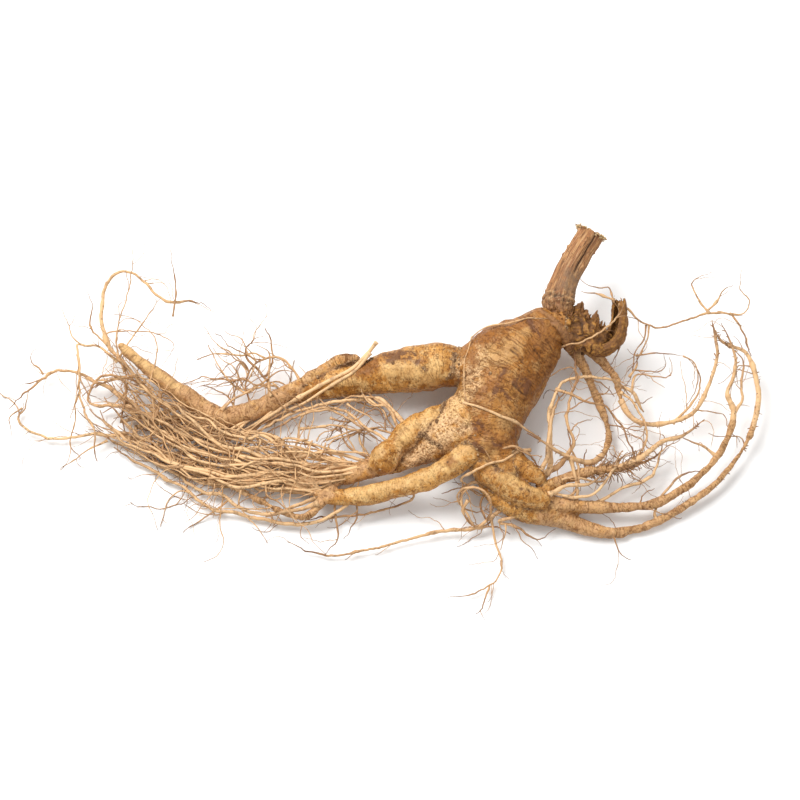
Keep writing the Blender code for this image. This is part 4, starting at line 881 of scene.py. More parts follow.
@dataclass(frozen=True)
class SkinFinish:
    """The golden skin of the swollen root, with its stains, specks and soil, painted shade in its folds and
    along its creases, and pale patches that are partly painted highlight.
    """

    pale: Colour = (0.74, 0.475, 0.195, 1)
    golden: Colour = (0.56, 0.268, 0.066, 1)
    tan: Colour = (0.40, 0.162, 0.026, 1)
    brown: Colour = (0.150, 0.051, 0.009, 1)
    russet: Colour = (0.225, 0.071, 0.010, 1)
    purple: Colour = (0.120, 0.046, 0.021, 1)
    bark: Colour = (0.55, 0.32, 0.155, 1)
    cream: Colour = (0.82, 0.54, 0.285, 1)
    speck: Colour = (0.055, 0.024, 0.011, 1)
    soil: Colour = (0.165, 0.088, 0.042, 1)

    def build(self) -> Material:
        """Make the material."""
        shader = Shader("ginseng skin")
        bark, granule, wrinkle, pale = shader.attributes("bark", "granules", "wrinkle", "pale")
        russet, purple, fold, crease, mud = shader.attributes("russet", "purple", "fold", "crease", "soil")
        fine = shader.grain(1.0, 4, 0.65)
        patches = shader.grain(12, 5, 0.6).eased(0.42, 0.58)
        mottle = shader.grain(4.2, 5, 0.68, distortion=0.5)
        fleck = shader.grain(1.7, 4, 0.7, shader.place() + 0.047).eased(0.53, 0.66)
        dapple = shader.grain(2.3, 5, 0.75, distortion=0.8).eased(0.51, 0.62)
        grit = shader.cells(0.85, shader.warped(0.5))
        freckle = shader.grain(0.95, 3, 0.6, shader.place() + 0.013).eased(0.54, 0.66)
        dots = shader.specks(1.25, 0.16, 0.34, shader.place() + 0.019) * mottle.eased(0.42, 0.56)
        specks = shader.specks(2.1, 0.10, 0.22)
        thinned = shader.grain(6, 2).eased(0.46, 0.58)
        shown = (0.15 + thinned * 0.7) * (1 - granule * 0.9) * (1 - bark * 0.6) * (1 - pale * 0.5)
        line, band = self.rings(shader)
        soil = (mud * (0.3 + fine * 1.5) - 0.2).clamped()
        colour = shader.paint(
            self.golden, (patches, self.tan), (mottle.eased(0.47, 0.62) * 0.7, self.pale),
            (bark * 0.8, self.bark), (fleck * 0.45, self.pale),
            (granule * mottle.eased(0.36, 0.5) * 0.85, self.cream),
            # Pale patches: paler skin and painted highlight on the members' tops
            ((pale * (0.25 + mottle * 0.7)).clamped(), self.pale),
            ((russet * (0.25 + mottle * 0.95) * (1 - granule * 0.6)).clamped(), self.russet),
            (dapple * (0.68 - pale * 0.3 - granule * 0.3), self.brown),
            ((purple * (mottle.eased(0.42, 0.52) + fine * 0.25)).clamped() * 0.88, self.purple),
            (granule * (1 - grit.eased(0.2, 0.5)) * 0.6, self.cream),
            (granule * grit.eased(0.42, 0.75) * fine.eased(0.40, 0.60) * 0.8, self.russet),
            (freckle * (0.78 - bark * 0.3 - pale * 0.35), self.brown),
            (dots * (0.75 - bark * 0.35 - granule * 0.55 - pale * 0.45), self.brown),
            (specks * shown * 0.85, self.speck), (band * wrinkle * 0.35, self.brown),
            ((line * wrinkle * 1.3).clamped() * 0.75, self.brown),
            # Painted shade in the folds of the skin and along the creases
            ((fold * (0.35 + fine * 0.8)).clamped() * 0.75, self.brown), (crease * 0.85, self.speck),
            (soil, self.soil))
        height = fine * 0.6 + mottle * 0.5 + shader.cells(0.8) * (0.15 + granule * 0.7 + soil * 0.9)
        height = height - line * wrinkle * 0.9 - specks * 0.35 - freckle * 0.12
        roughness = 0.38 + fine * 0.18 + soil * 0.4 + granule * 0.15
        return shader.finish(colour, roughness, 0.24, height, 0.36, 0.95)

    def rings(self, shader: Shader) -> tuple[Signal, Signal]:
        """The fine lines and the broad bands that run round each member, each from 0 to 1."""
        run, side, rise = shader.attributes("run", "side", "rise")
        along = run + shader.grain(7, 2, 0.5) * 5.0
        level = shader.grain(1 / MM, 2, 0.5, shader.stretched(along * 0.62, side * 0.075, rise * 0.075))
        patchy = shader.grain(9, 2, 0.5, shader.place() + 0.031).eased(0.38, 0.56)
        line = level.eased(0.462, 0.498) * (1 - level.eased(0.502, 0.538)) * (0.25 + patchy * 0.75)
        wide = shader.stretched(along * 0.23, side * 0.02, rise * 0.02)
        return line, shader.grain(1 / MM, 3, 0.6, wide).eased(0.50, 0.64)


@dataclass(frozen=True)
class RootletFinish:
    """The thin bark of legs and rootlets, tan with brown knots and darker tips."""

    light: Colour = (0.74, 0.48, 0.245, 1)
    mid: Colour = (0.48, 0.25, 0.102, 1)
    dark: Colour = (0.140, 0.055, 0.020, 1)
    soil: Colour = (0.060, 0.028, 0.013, 1)

    def build(self) -> Material:
        """Make the material."""
        shader = Shader("rootlet bark")
        tone, tip, rings = shader.attributes("tone", "tip", "ring")
        streak = shader.grain(3.4, 5, 0.65)
        fine = shader.grain(0.8, 3, 0.6)
        darker = shader.grain(6.0, 5, 0.75).eased(0.52, 0.64)
        depth = (darker * 0.55 + tip * (0.25 + streak * 0.9) + tone.eased(0.7, 1.0) * 0.4).clamped()
        colour = shader.paint(self.light, ((tone * 0.9 + streak * 1.3 - 0.75).clamped(), self.mid),
                              (depth * 0.78, self.dark), (rings * fine.eased(0.38, 0.6) * 0.5, self.dark),
                              (shader.specks(2.2, 0.12, 0.30) * 0.5, self.soil))
        height = fine * 0.6 + streak * 0.3 - rings * 0.6
        return shader.finish(colour, 0.5 + fine * 0.2, 0.4, height, 0.25, 0.85)


@dataclass(frozen=True)
class CrownFinish:
    """The gnarled bark of the neck, the horn and the scales: ochre lumps with painted highlight on their
    tops and painted shade in the folds between them.
    """

    ochre: Colour = (0.435, 0.192, 0.033, 1)
    straw: Colour = (0.52, 0.285, 0.078, 1)
    brown: Colour = (0.185, 0.077, 0.023, 1)
    black: Colour = (0.042, 0.019, 0.009, 1)
    husk: Colour = (0.30, 0.140, 0.058, 1)

    def build(self) -> Material:
        """Make the material."""
        shader = Shader("crown bark")
        top, husk, fold = shader.attributes("top", "husk", "fold")
        blotch = shader.grain(3.0, 4, 0.62).eased(0.40, 0.60)
        fine = shader.grain(0.9, 4, 0.65)
        fibre = shader.grain(0.55, 2, 0.5, distortion=0.8).eased(0.5, 0.7)
        # Tops of the lumps painted lighter as painted highlight, their folds and seams painted dark as
        # painted shade
        colour = shader.paint(self.brown, ((blotch * 0.55 + top * 0.7 - 0.3).clamped(), self.ochre),
                              ((top * fine.eased(0.46, 0.6)).clamped() * 0.6, self.straw),
                              (husk * (0.45 + blotch * 0.45), self.husk),
                              ((fold * (0.45 + fine * 0.8)).clamped() * 0.92, self.black),
                              (fibre * 0.35, self.black))
        return shader.finish(colour, 0.5 + fine * 0.25, 0.3, fine * 0.8 - shader.cells(0.8) * 0.4, 0.3)


@dataclass(frozen=True)
class StalkFinish:
    """The dead stalk: pinkish brown with long fibres and a dusty patch, with painted shade in its groove,
    in the folds of its node ring, in its bud scar's middle and in its torn hollow.
    """

    pink: Colour = (0.305, 0.124, 0.046, 1)
    tan: Colour = (0.43, 0.214, 0.078, 1)
    brown: Colour = (0.125, 0.052, 0.022, 1)
    dust: Colour = (0.215, 0.128, 0.072, 1)
    dark: Colour = (0.035, 0.018, 0.010, 1)
    straw: Colour = (0.66, 0.46, 0.25, 1)

    def build(self) -> Material:
        """Make the material."""
        shader = Shader("dead stalk")
        along, around, across = shader.attributes("along", "around", "across")
        dust, ring, groove, torn, fold = shader.attributes("dust", "node", "groove", "torn", "fold")
        fibres = shader.stretched(around * 0.008, across * 0.008, along * 0.00009)
        fine = shader.grain(0.55, 4, 0.65, fibres)
        broad = shader.grain(2.6, 3, 0.6, fibres)
        patch = shader.grain(2.2, 4, 0.7)
        flakes = shader.grain(0.9, 4, 0.7, shader.place() + 0.023).eased(0.53, 0.62)
        colour = shader.paint(
            self.pink, (broad.eased(0.35, 0.65), self.tan), (fine.eased(0.49, 0.61) * 0.9, self.brown),
            (fine.eased(0.46, 0.34) * 0.55, self.straw),
            ((dust * (patch.eased(0.35, 0.6) + 0.15)).clamped() * 0.85, self.dust),
            ((ring * patch.eased(0.42, 0.6)).clamped() * 0.7, self.brown),
            # Painted shade in the groove and its slit
            ((ring * flakes).clamped() * 0.55, self.straw), (groove * 0.85, self.dark),
            ((torn * (0.6 + fine * 0.6)).clamped(), self.straw),
            # Painted shade in the node ring's folds, the bud scar's middle and the torn hollow
            ((fold * (0.5 + patch * 0.8)).clamped() * 0.85, self.dark),
            (shader.specks(2.1, 0.08, 0.24) * 0.6, self.dark))
        return shader.finish(colour, 0.62 + fine * 0.2, 0.35, fine * 0.9 + patch * 0.25, 0.3)


@dataclass(frozen=True)
class FibreFinish:
    """Torn straw-coloured fibres."""

    straw: Colour = (0.74, 0.55, 0.29, 1)
    brown: Colour = (0.26, 0.13, 0.06, 1)

    def build(self) -> Material:
        """Make the material."""
        shader = Shader("torn fibre")
        shade = shader.grain(1.6, 3, 0.6)
        colour = shader.paint(self.straw, (shade.eased(0.42, 0.66), self.brown))
        return shader.finish(colour, 0.6 + shade * 0.2, 0.4, shader.grain(0.4, 2), 0.1)


@dataclass(frozen=True)
class SoilFinish:
    """Dry crumbs of soil and bark."""

    dark: Colour = (0.17, 0.088, 0.042, 1)
    light: Colour = (0.40, 0.25, 0.13, 1)

    def build(self) -> Material:
        """Make the material."""
        shader = Shader("soil crumb")
        shade = shader.grain(2.4, 3, 0.6)
        colour = shader.paint(self.dark, (shade.eased(0.42, 0.62), self.light))
        return shader.finish(colour, 0.78 + shade * 0.12, 0.25, shader.grain(0.35, 3), 0.15)


@dataclass(frozen=True)
class FloorFinish:
    """A plain matt near-white floor."""

    white: Colour = (0.90, 0.90, 0.895, 1)

    def build(self) -> Material:
        """Make the material."""
        return Shader("pale floor").finish(self.white, 0.7, 0.2)


@dataclass
class Finishes:
    """Every material of the scene, made once."""

    skin: Material = field(default_factory=SkinFinish().build)
    rootlet: Material = field(default_factory=RootletFinish().build)
    crown: Material = field(default_factory=CrownFinish().build)
    stalk: Material = field(default_factory=StalkFinish().build)
    fibre: Material = field(default_factory=FibreFinish().build)
    soil: Material = field(default_factory=SoilFinish().build)
    floor: Material = field(default_factory=FloorFinish().build)


class Slot(Enum):
    """The record's material slots."""

    SKIN = "root_skin"
    STALK = "dead_stalk"


def dress(thing: Object, finish: Material, slot: Slot, *replaced: str) -> Object:
    """Give a piece its finish and its place on the body, and report it.

    Args:
        thing: The piece.
        finish: Its material.
        slot: Not used.
        replaced: The CAD nodes that it stands for.

    Returns:
        The piece.
    """
    thing.data.materials.clear()
    thing.data.materials.append(finish)
    thing.data.shade_smooth()
    if replaced:
        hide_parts(*replaced)
    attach(thing, BODY)
    triangles = sum(len(face.vertices) - 2 for face in thing.data.polygons)
    log.info("%s: %d triangles", thing.name, triangles)
    return thing


@dataclass
class Members:
    """The swollen members' centre lines, and where a place lies along the nearest one."""

    spacing: float = 1.0
    least_radius: float = 1.2
    # Places further than this from a member aren't measured against it
    reach: float = 25.0
    batch: int = 6000
    # Members that are one mass with another, so that no fold lies between them
    joined: dict[str, str] = field(default_factory=lambda: {
        "shoulder": "trunk", "hip": "trunk", "belly_lobe": "trunk", "middle_toe": "middle_leg"})
    # How strongly rings wrinkle the skin of a member
    wrinkled: dict[str, float] = field(default_factory=lambda: {
        "trunk": 0.75, "shoulder": 0.45, "arm": 0.45, "arm_rider": 0.9, "belly_lobe": 0.3,
        "middle_leg": 0.5, "middle_toe": 0.5, "front_leg": 0.3, "hip": 0.5, "hip_thumb": 0.55,
        "hip_knob": 0.55, "right_leg": 0.6, "second_right_leg": 0.6, "third_right_leg": 0.9,
        "crown_root": 0.7, "second_crown_root": 0.7, "kinked_toe": 0.9})
    # How ruddy the skin of a member is all over
    ruddy: dict[str, float] = field(default_factory=lambda: {
        "trunk": 0.62, "shoulder": 1.0, "hip": 0.45, "hip_thumb": 0.1, "hip_knob": 0.3, "arm": 0.06})

    def thick(self, name: str) -> list[Place]:
        """The stretch of a member that is thick enough for the blended skin."""
        points = FLESH[name]
        last = max(index for index, point in enumerate(points) if point[3] >= self.least_radius)
        return points[:last + 1]

    def thin(self, name: str) -> list[Place]:
        """The tail of a member, which starts inside its thick stretch."""
        kept = len(self.thick(name))
        return FLESH[name][max(0, kept - 2):] if kept < len(FLESH[name]) else []

    def measure(self, places: Array) -> dict[str, Array]:
        """Find where places lie on the members.

        Args:
            places: The places, one a row.

        Returns:
            For each place its `run` along the nearest member, its offsets `side` and `rise` from that
            member's centre line, how strong its `wrinkle` and its `ruddy` tone are, and `gap`, how much
            further away the nearest member of another mass is.
        """
        size = len(places)
        best = np.full(size, np.inf)
        by_mass = {name: np.full(size, np.inf) for name in FLESH}
        lie = {name: np.zeros(size) for name in ("run", "side", "rise", "wrinkle", "ruddy")}
        for name in FLESH:
            route = smooth_route(self.thick(name), self.spacing)
            length = run_length(route)
            forward = tangents(route)
            sideways = unit_rows(np.cross(forward, (0, 0, 1)))
            upward = np.cross(sideways, forward)
            low, high = route[:, :3].min(0) - self.reach, route[:, :3].max(0) + self.reach
            near = np.nonzero(np.all((places > low) & (places < high), axis=1))[0]
            mass = by_mass[self.joined.get(name, name)]
            for part in np.array_split(near, max(1, len(near) // self.batch)):
                offset = places[part][:, None, :] - route[None, :, :3]
                depth = np.linalg.norm(offset, axis=2) - route[:, 3]
                index = depth.argmin(axis=1)
                rows = np.arange(len(part))
                depth, offset = depth[rows, index], offset[rows, index]
                mass[part] = np.minimum(mass[part], depth)
                closer = depth < best[part]
                chosen, index, offset = part[closer], index[closer], offset[closer]
                best[chosen] = depth[closer]
                lie["run"][chosen] = length[index] + np.sum(offset * forward[index], axis=1)
                lie["side"][chosen] = np.sum(offset * sideways[index], axis=1)
                lie["rise"][chosen] = np.sum(offset * upward[index], axis=1)
                lie["wrinkle"][chosen] = self.wrinkled[name]
                lie["ruddy"][chosen] = self.ruddy.get(name, 0.0)
        nearest, second = np.sort(list(by_mass.values()), axis=0)[:2]
        return {**lie, "gap": second - nearest}


@dataclass
class Flesh:
    """The swollen root: members blended into one skin, then lumps, wrinkles, creases, pits and stains."""

    finishes: Finishes
    members: Members
    sides: int = 20
    spacing: float = 1.6
    voxel: float = 0.69
    smoothing: int = 14
    lump_size: float = 9.0
    lump_height: float = 0.7
    bump_size: float = 3.6
    bump_height: float = 0.36
    grain_size: float = 1.5
    grain_height: float = 0.13
    granule_size: float = 1.25
    granule_height: float = 0.55
    scar_height: float = 0.8
    pit_depth: float = 0.9
    ring_pitch: float = 2.9
    ring_reach: float = 14.0
    ring_depth: float = 0.5
    fold_rounds: int = 14
    stain_rounds: int = 60
    soil_gap: float = 1.1

    def build(self) -> Object:
        """Make the skin and dress it."""
        routes = [rounded_ends(smooth_route(self.members.thick(name), self.spacing)) for name in FLESH]
        body = sweep("root_flesh", routes, self.sides)
        blend(body, self.voxel, self.smoothing)
        self.refine(body.data)
        lie = self.members.measure(coordinates(body.data))
        layers = self.stains(body.data, lie)
        self.shape(body.data, lie, layers[Stain.GRANULES])
        # Painted shade: the skin darkens the deeper it lies in a fold
        set_attributes(body.data, **{name: lie[name] for name in ("run", "side", "rise", "wrinkle")},
                       **{stain.value: values for stain, values in layers.items()},
                       fold=ramp(hollowness(body.data, self.fold_rounds), 0.04, 0.26))
        return dress(body, self.finishes.skin, Slot.SKIN, ROOT_NODE)

    def refine(self, mesh: Mesh) -> None:
        """Split the faces round creases and pits, so that they come out crisp."""
        places = coordinates(mesh)
        near = np.zeros(len(places), dtype=bool)
        for crease in CREASES:
            near |= path_distance(places, crease.path) < 1.3
        for pit in PITS:
            near |= path_distance(places, [pit]) < pit[3] * 1.6
        shape = bmesh.new()
        shape.from_mesh(mesh)
        shape.verts.ensure_lookup_table()
        edges = [edge for edge in shape.edges if near[edge.verts[0].index] and near[edge.verts[1].index]]
        bmesh.ops.subdivide_edges(shape, edges=edges, cuts=1, use_grid_fill=True)
        bmesh.ops.triangulate(shape, faces=[face for face in shape.faces if len(face.verts) > 4])
        shape.to_mesh(mesh)
        shape.free()

    def shape(self, mesh: Mesh, lie: dict[str, Array], granules: Array) -> None:
        """Raise the relief of the skin and flatten its underside.

        Args:
            mesh: The blended skin.
            lie: Where each vertex lies on the members.
            granules: How strongly each vertex is covered with granules.
        """
        places = coordinates(mesh)
        lumps = noise_at(places, self.lump_size) + 0.5 * noise_at(places, self.lump_size / 2)
        height = lumps * self.lump_height
        height += noise_at(places, self.bump_size, 31.7) * self.bump_height
        height += noise_at(places, self.grain_size, 11.3) * self.grain_height
        height += noise_at(places, self.granule_size, 21.9) * self.granule_height * granules
        height += self.rings(lie)
        for scar in SCARS:
            height += self.scar_height * spot(places, scar)
        for pit in PITS:
            height -= self.pit_depth * spot(places, pit, 0.2)
        # Painted shade along each crease, stored as the crease attribute
        dark = np.zeros(len(places))
        for crease in CREASES:
            distance = path_distance(places, crease.path)
            line = bell(distance, crease.width)
            dark = np.maximum(dark, line)
            height -= crease.depth * line
            height += 0.35 * crease.depth * bell(distance - 2.2 * crease.width, crease.width)
        places += vertex_normals(mesh) * height[:, None]
        places[:, 2] = np.maximum(places[:, 2], 0)
        set_coordinates(mesh, places)
        set_attributes(mesh, crease=dark)

    def rings(self, lie: dict[str, Array]) -> Array:
        """The height of the fine creases across the members, which is below zero."""
        lines = np.column_stack([lie["run"], lie["side"], lie["rise"]])
        plane = lines / (self.ring_pitch, self.ring_reach, self.ring_reach)
        plane[:, 0] += 0.8 * noise_at(lines, 6.5, 5.1)
        valley = np.clip(1 - np.abs(noise_at(plane, 1.0, 3.3)) / 0.2, 0, 1) ** 1.5
        patchy = ramp(noise_at(plane, 4.5, 8.8), -0.25, 0.35)
        return -self.ring_depth * valley * lie["wrinkle"] * (0.3 + 0.7 * patchy)

    def stains(self, mesh: Mesh, lie: dict[str, Array]) -> dict[Stain, Array]:
        """Work out where the skin is soiled, stained or pale, the pale patches being paler skin and painted
        highlight.

        Args:
            mesh: The blended skin.
            lie: Where each vertex lies on the members. Its wrinkles are evened out here.

        Returns:
            One number a vertex, from 0 to 1, for each kind of stain.
        """
        places = coordinates(mesh)
        ragged = 0.5 * noise_at(places, 4.0, 2.2) + 0.35 * noise_at(places, 1.6, 7.7)
        layers = {}
        for stain, patches in PATCHES.items():
            spreads = [path_distance(places, path) / size + ragged for size, path in patches]
            layers[stain] = 1 - ramp(np.min(spreads, axis=0), 0.45, 1.1)
        between = 1 - ramp(lie["gap"] + 1.4 * ragged, 0.1, self.soil_gap)
        above = ramp(places[:, 2], 5.0, 14.0)
        holes = [spot(places, pit, 0.35, 0.95) for pit in PITS]
        layers[Stain.SOIL] = np.max([layers[Stain.SOIL] * 0.8, between * 0.6 * above, *holes], axis=0)
        sharp = np.column_stack([lie["ruddy"], lie["wrinkle"], lie["ruddy"]])
        even = relaxed(mesh, sharp, self.stain_rounds)
        lie["wrinkle"] = even[:, 1] * ramp(lie["gap"], 0.2, 1.5)
        layers[Stain.RUSSET] = np.maximum(layers[Stain.RUSSET], even[:, 0])
        return layers


@dataclass
class RootletMaker:
    """How a rootlet wanders, swells and branches along its route."""

    spacing: float = 1.25
    slim: float = 0.66
    wander: float = 0.7
    wander_size: float = 8.0
    kink: float = 0.42
    kink_size: float = 2.4
    knots_every: float = 20.0
    knot_swell: float = 0.5
    # The length over which a rootlet comes free of what it grows from
    root_length: float = 9.0
    flare: float = 0.8
    flare_length: float = 1.8
    taper_length: float = 16.0
    hair_every: float = 15.0
    hair_radius: float = 0.18
    hair_length: tuple[float, float] = (5.0, 26.0)
    hair_spacing: float = 1.2
    hair_bend: float = 0.085
    hair_jitter: float = 0.22
    turn_chance: float = 0.12

    def grow(self, points: Sequence[Place], seed: int, draw: random.Random) -> Array:
        """A natural rootlet along a route.

        Args:
            points: The route.
            seed: Which noise it wanders by.
            draw: Where its random numbers come from.

        Returns:
            Its points, with their radius.
        """
        route = smooth_route(points, self.spacing)
        length = run_length(route)
        total = length[-1]
        free = np.minimum(length / self.root_length, 1)
        towards_tip = length / total
        for axis in range(3):
            sway = noise_along(length, self.wander_size, 0.0, 7.3 * seed, 3.1 * axis) * self.wander
            kinks = noise_along(length, self.kink_size, 4.4, 7.3 * seed, 3.1 * axis) * self.kink
            route[:, axis] += (sway + kinks * (0.5 + 1.3 * towards_tip)) * free * (0.6 if axis == 2 else 1)
        swell = 1 + 0.16 * noise_along(length, 3.3, 9.1, 5.9 * seed)
        swell += 0.10 * noise_along(length, 1.5, 1.9, 5.9 * seed)
        for _ in range(int(total / self.knots_every * draw.uniform(0.5, 1.5))):
            middle = draw.uniform(0.1, 0.98) * total
            swell += self.knot_swell * draw.uniform(0.3, 1) * bell(length - middle, draw.uniform(0.7, 1.5))
        swell += self.flare * np.exp(-length / self.flare_length)
        taper = 1 - 0.55 * ramp(length, total - min(self.taper_length, 0.5 * total), total)
        route[:, 3] *= self.slim * swell * taper
        route[:, 2] = np.maximum(route[:, 2], route[:, 3] + LEAST_CLEARANCE)
        return route

    def hair(self, start: Array, heading: Array, radius: float, length: float,
             draw: random.Random) -> Array:
        """A fine side hair.

        Args:
            start: Where it leaves the rootlet.
            heading: The way it starts out.
            radius: Its radius at the start.
            length: Its length.
            draw: Where its random numbers come from.

        Returns:
            Its points, with their radius.
        """
        steps = max(4, round(length / self.hair_spacing))
        bend = gauss(draw, *[self.hair_bend] * 3)
        place = start.copy()
        rows = []
        for step in range(steps + 1):
            rows.append([*place, radius * (1 - 0.6 * step / steps) * draw.uniform(0.85, 1.2)])
            if draw.random() < self.turn_chance:
                bend = -bend * draw.uniform(0.5, 1.4)
            heading = heading + bend + gauss(draw, *[self.hair_jitter] * 3)
            heading[2] = heading[2] * 0.85 - 0.02
            heading = unit(heading)
            if (place[0] < REACH[0] and heading[0] < 0) or (place[0] > REACH[1] and heading[0] > 0):
                heading[0] = -heading[0]
            place = place + heading * self.hair_spacing
            place[2] = max(place[2], radius + LEAST_CLEARANCE)
        return np.array(rows)

    def hairs_of(self, route: Array, draw: random.Random, every: float) -> list[Array]:
        """The side hairs of a rootlet, about `every` millimetres apart."""
        length = run_length(route)
        forward = tangents(route)
        hairs = []
        for _ in range(int(length[-1] / every * draw.uniform(0.6, 1.4))):
            index = int((0.12 + 0.86 * draw.random()) * (len(route) - 1))
            sideways = gauss(draw, 1, 1, 0.6)
            sideways = unit(sideways - forward[index] * (sideways @ forward[index]))
            heading = leaning(forward[index], sideways, draw.uniform(22, 65))
            radius = min(self.hair_radius * draw.uniform(0.7, 1.4), 0.75 * route[index, 3])
            size = draw.uniform(*self.hair_length)
            hairs.append(self.hair(route[index, :3], heading, radius, size, draw))
        return hairs


def bark_tubes(name: str, rootlets: Sequence[Array], sides: int, draw: random.Random,
               tip_length: float = 26.0, tones: tuple[float, float] = (0.0, 1.0)) -> Object:
    """Rootlets as one mesh with the attributes that their bark reads.

    Args:
        name: The piece's name.
        rootlets: Their points, with their radius.
        sides: How many sides they have.
        draw: Where each one's tone comes from.
        tip_length: How far from its tip a rootlet starts to darken.
        tones: The lightest and darkest tone, from 0 to 1.

    Returns:
        The new object, which isn't dressed yet.
    """
    thing = sweep(name, rootlets, sides)
    layers = {"tone": [], "tip": [], "ring": []}
    for route in rootlets:
        length = run_length(route)
        total = length[-1]
        own = draw.uniform(*tones)
        layers["tone"].append(np.clip(0.75 * own + 0.5 * ramp(-route[:, 3], -0.75, -0.25), 0, 1))
        layers["tip"].append(ramp(length, total - min(tip_length, 0.8 * total), total))
        layers["ring"].append(ramp(noise_along(length, 1.6, 0.7, 13.7 * own), 0.12, 0.45))
    rings = {layer: np.repeat(np.concatenate(parts), sides) for layer, parts in layers.items()}
    set_attributes(thing.data, **rings)
    return thing


def add_hairs(piece: Object, hairs: Sequence[Array], sides: int, draw: random.Random) -> None:
    """Join fine hairs, each with its points and radius, to the rootlets that they grow on."""
    if hairs:
        fluff = bark_tubes(f"{piece.name}_hairs", hairs, sides, draw, 8.0, (0.3, 1.0))
        activate(fluff)
        piece.select_set(True)
        bpy.context.view_layer.objects.active = piece
        bpy.ops.object.join()


def laid_on(skin: Object, routes: Sequence[Sequence[Place]]) -> list[Array]:
    """Routes with more points, lifted where they would run inside the skin."""
    tree = BVHTree.FromObject(skin, bpy.context.evaluated_depsgraph_get())
    lifted = []
    for points in routes:
        route = smooth_route(points, 2.0)
        for row in route:
            hit = tree.ray_cast(Vector((row[0] * MM, row[1] * MM, 0.1)), Vector((0, 0, -1)))[0]
            if hit is not None:
                row[2] = max(row[2], hit.z / MM + 0.5 * row[3])
        route[1:-1, 2] = np.maximum(route[1:-1, 2], (route[:-2, 2] + route[2:, 2]) / 2)
        lifted.append(route)
    return lifted


@dataclass
class Rootlets:
    """A group of rootlets with their side hairs, as one piece."""

    finishes: Finishes
    name: str
    routes: Sequence[Sequence[Place]]
    seed: int
    maker: RootletMaker = field(default_factory=RootletMaker)
    sides: int = 8
    hair_sides: int = 5
    hair_every: float = 14.0
    tones: tuple[float, float] = (0.0, 1.0)

    def build(self) -> Object:
        """Make the group and dress it."""
        draw = random.Random(self.seed)
        rootlets = [self.maker.grow(points, self.seed + index, draw)
                    for index, points in enumerate(self.routes)]
        hairs = [hair for route in rootlets for hair in self.maker.hairs_of(route, draw, self.hair_every)]
        piece = bark_tubes(self.name, rootlets, self.sides, draw, tones=self.tones)
        add_hairs(piece, hairs, self.hair_sides, draw)
        return dress(piece, self.finishes.rootlet, Slot.SKIN, ROOT_NODE)


@dataclass
class Bunch:
    """The left bunch: strands in layers that flow side by side from the flesh."""

    finishes: Finishes
    steps: int = 6
    # How far before its source a strand joins the guides
    lead: float = 22.0
    layer: float = 3.4
    lowest: float = -2.0
    sway: float = 2.1

    def along(self, points: Sequence[Place], share: float) -> Array:
        """The place at a share, from 0 to 1, of a guide."""
        position = min(max(share, 0), 1) * (len(points) - 1)
        index = min(int(position), len(points) - 2)
        start, end = vectors(points[index:index + 2])
        return start + (end - start) * (position - index)

    def between(self, share: float, across: float) -> Array:
        """The place at a share of the bunch's length, from its back, 0, to its front, 1."""
        back, middle, front = (self.along(guide, share) for guide in GUIDES)
        if across < 0.5:
            return back + (middle - back) * 2 * across
        return middle + (front - middle) * (2 * across - 1)

    def strands(self, seed: int, count: int, thickest: float, thinnest: float, drift: float,
                shortest: float) -> list[list[Place]]:
        """Strands between the guides.

        Args:
            seed: Which random numbers they follow.
            count: How many there are.
            thickest: The largest radius.
            thinnest: The smallest radius.
            drift: How far a strand may cross over to its neighbours.
            shortest: The least share of the bunch's length that a strand reaches.

        Returns:
            One route a strand.
        """
        draw = random.Random(seed)
        start = BUNCH_BACK[0][0]
        strands = []
        for index in range(count):
            across = (index + draw.uniform(0.2, 0.8)) / count
            if index % 3 == 0 and across < 0.75:
                source = ARM_SOURCES[(index // 3) % len(ARM_SOURCES)]
            else:
                source = BUNCH_SOURCES[index % len(BUNCH_SOURCES)]
            first = (start - source[0] + self.lead) / (start - BUNCH_BACK[-1][0])
            last = draw.uniform(shortest, 1.0)
            shift = draw.uniform(-drift, drift)
            layer = self.lowest + self.layer * (index % 3)
            thickness = thinnest + (thickest - thinnest) * draw.uniform(0, 1)
            route = [(*source, thickness)]
            for step in range(self.steps):
                share = step / (self.steps - 1)
                lane = min(max(across + shift * share, 0), 1)
                x, y, z = self.between(first + (last - first) * share, lane)
                sway = draw.uniform(-self.sway, self.sway)
                rise = layer + draw.uniform(-self.sway, self.sway) / 2
                route.append((x, y + sway, z + rise, thickness * (1 - share / 2)))
            strands.append(route)
        return strands

    def build(self) -> Object:
        """Make the bunch and dress it."""
        routes = self.strands(7, 21, 1.1, 0.7, 0.2, 0.7) + self.strands(19, 68, 0.6, 0.25, 0.6, 0.3)
        maker = RootletMaker(slim=1.0, wander=2.4, wander_size=21.0, kink=0.8, kink_size=7.0, spacing=1.5)
        return Rootlets(self.finishes, "left_bunch", routes, 41, maker, 6, 4, 40.0, (0.0, 0.3)).build()


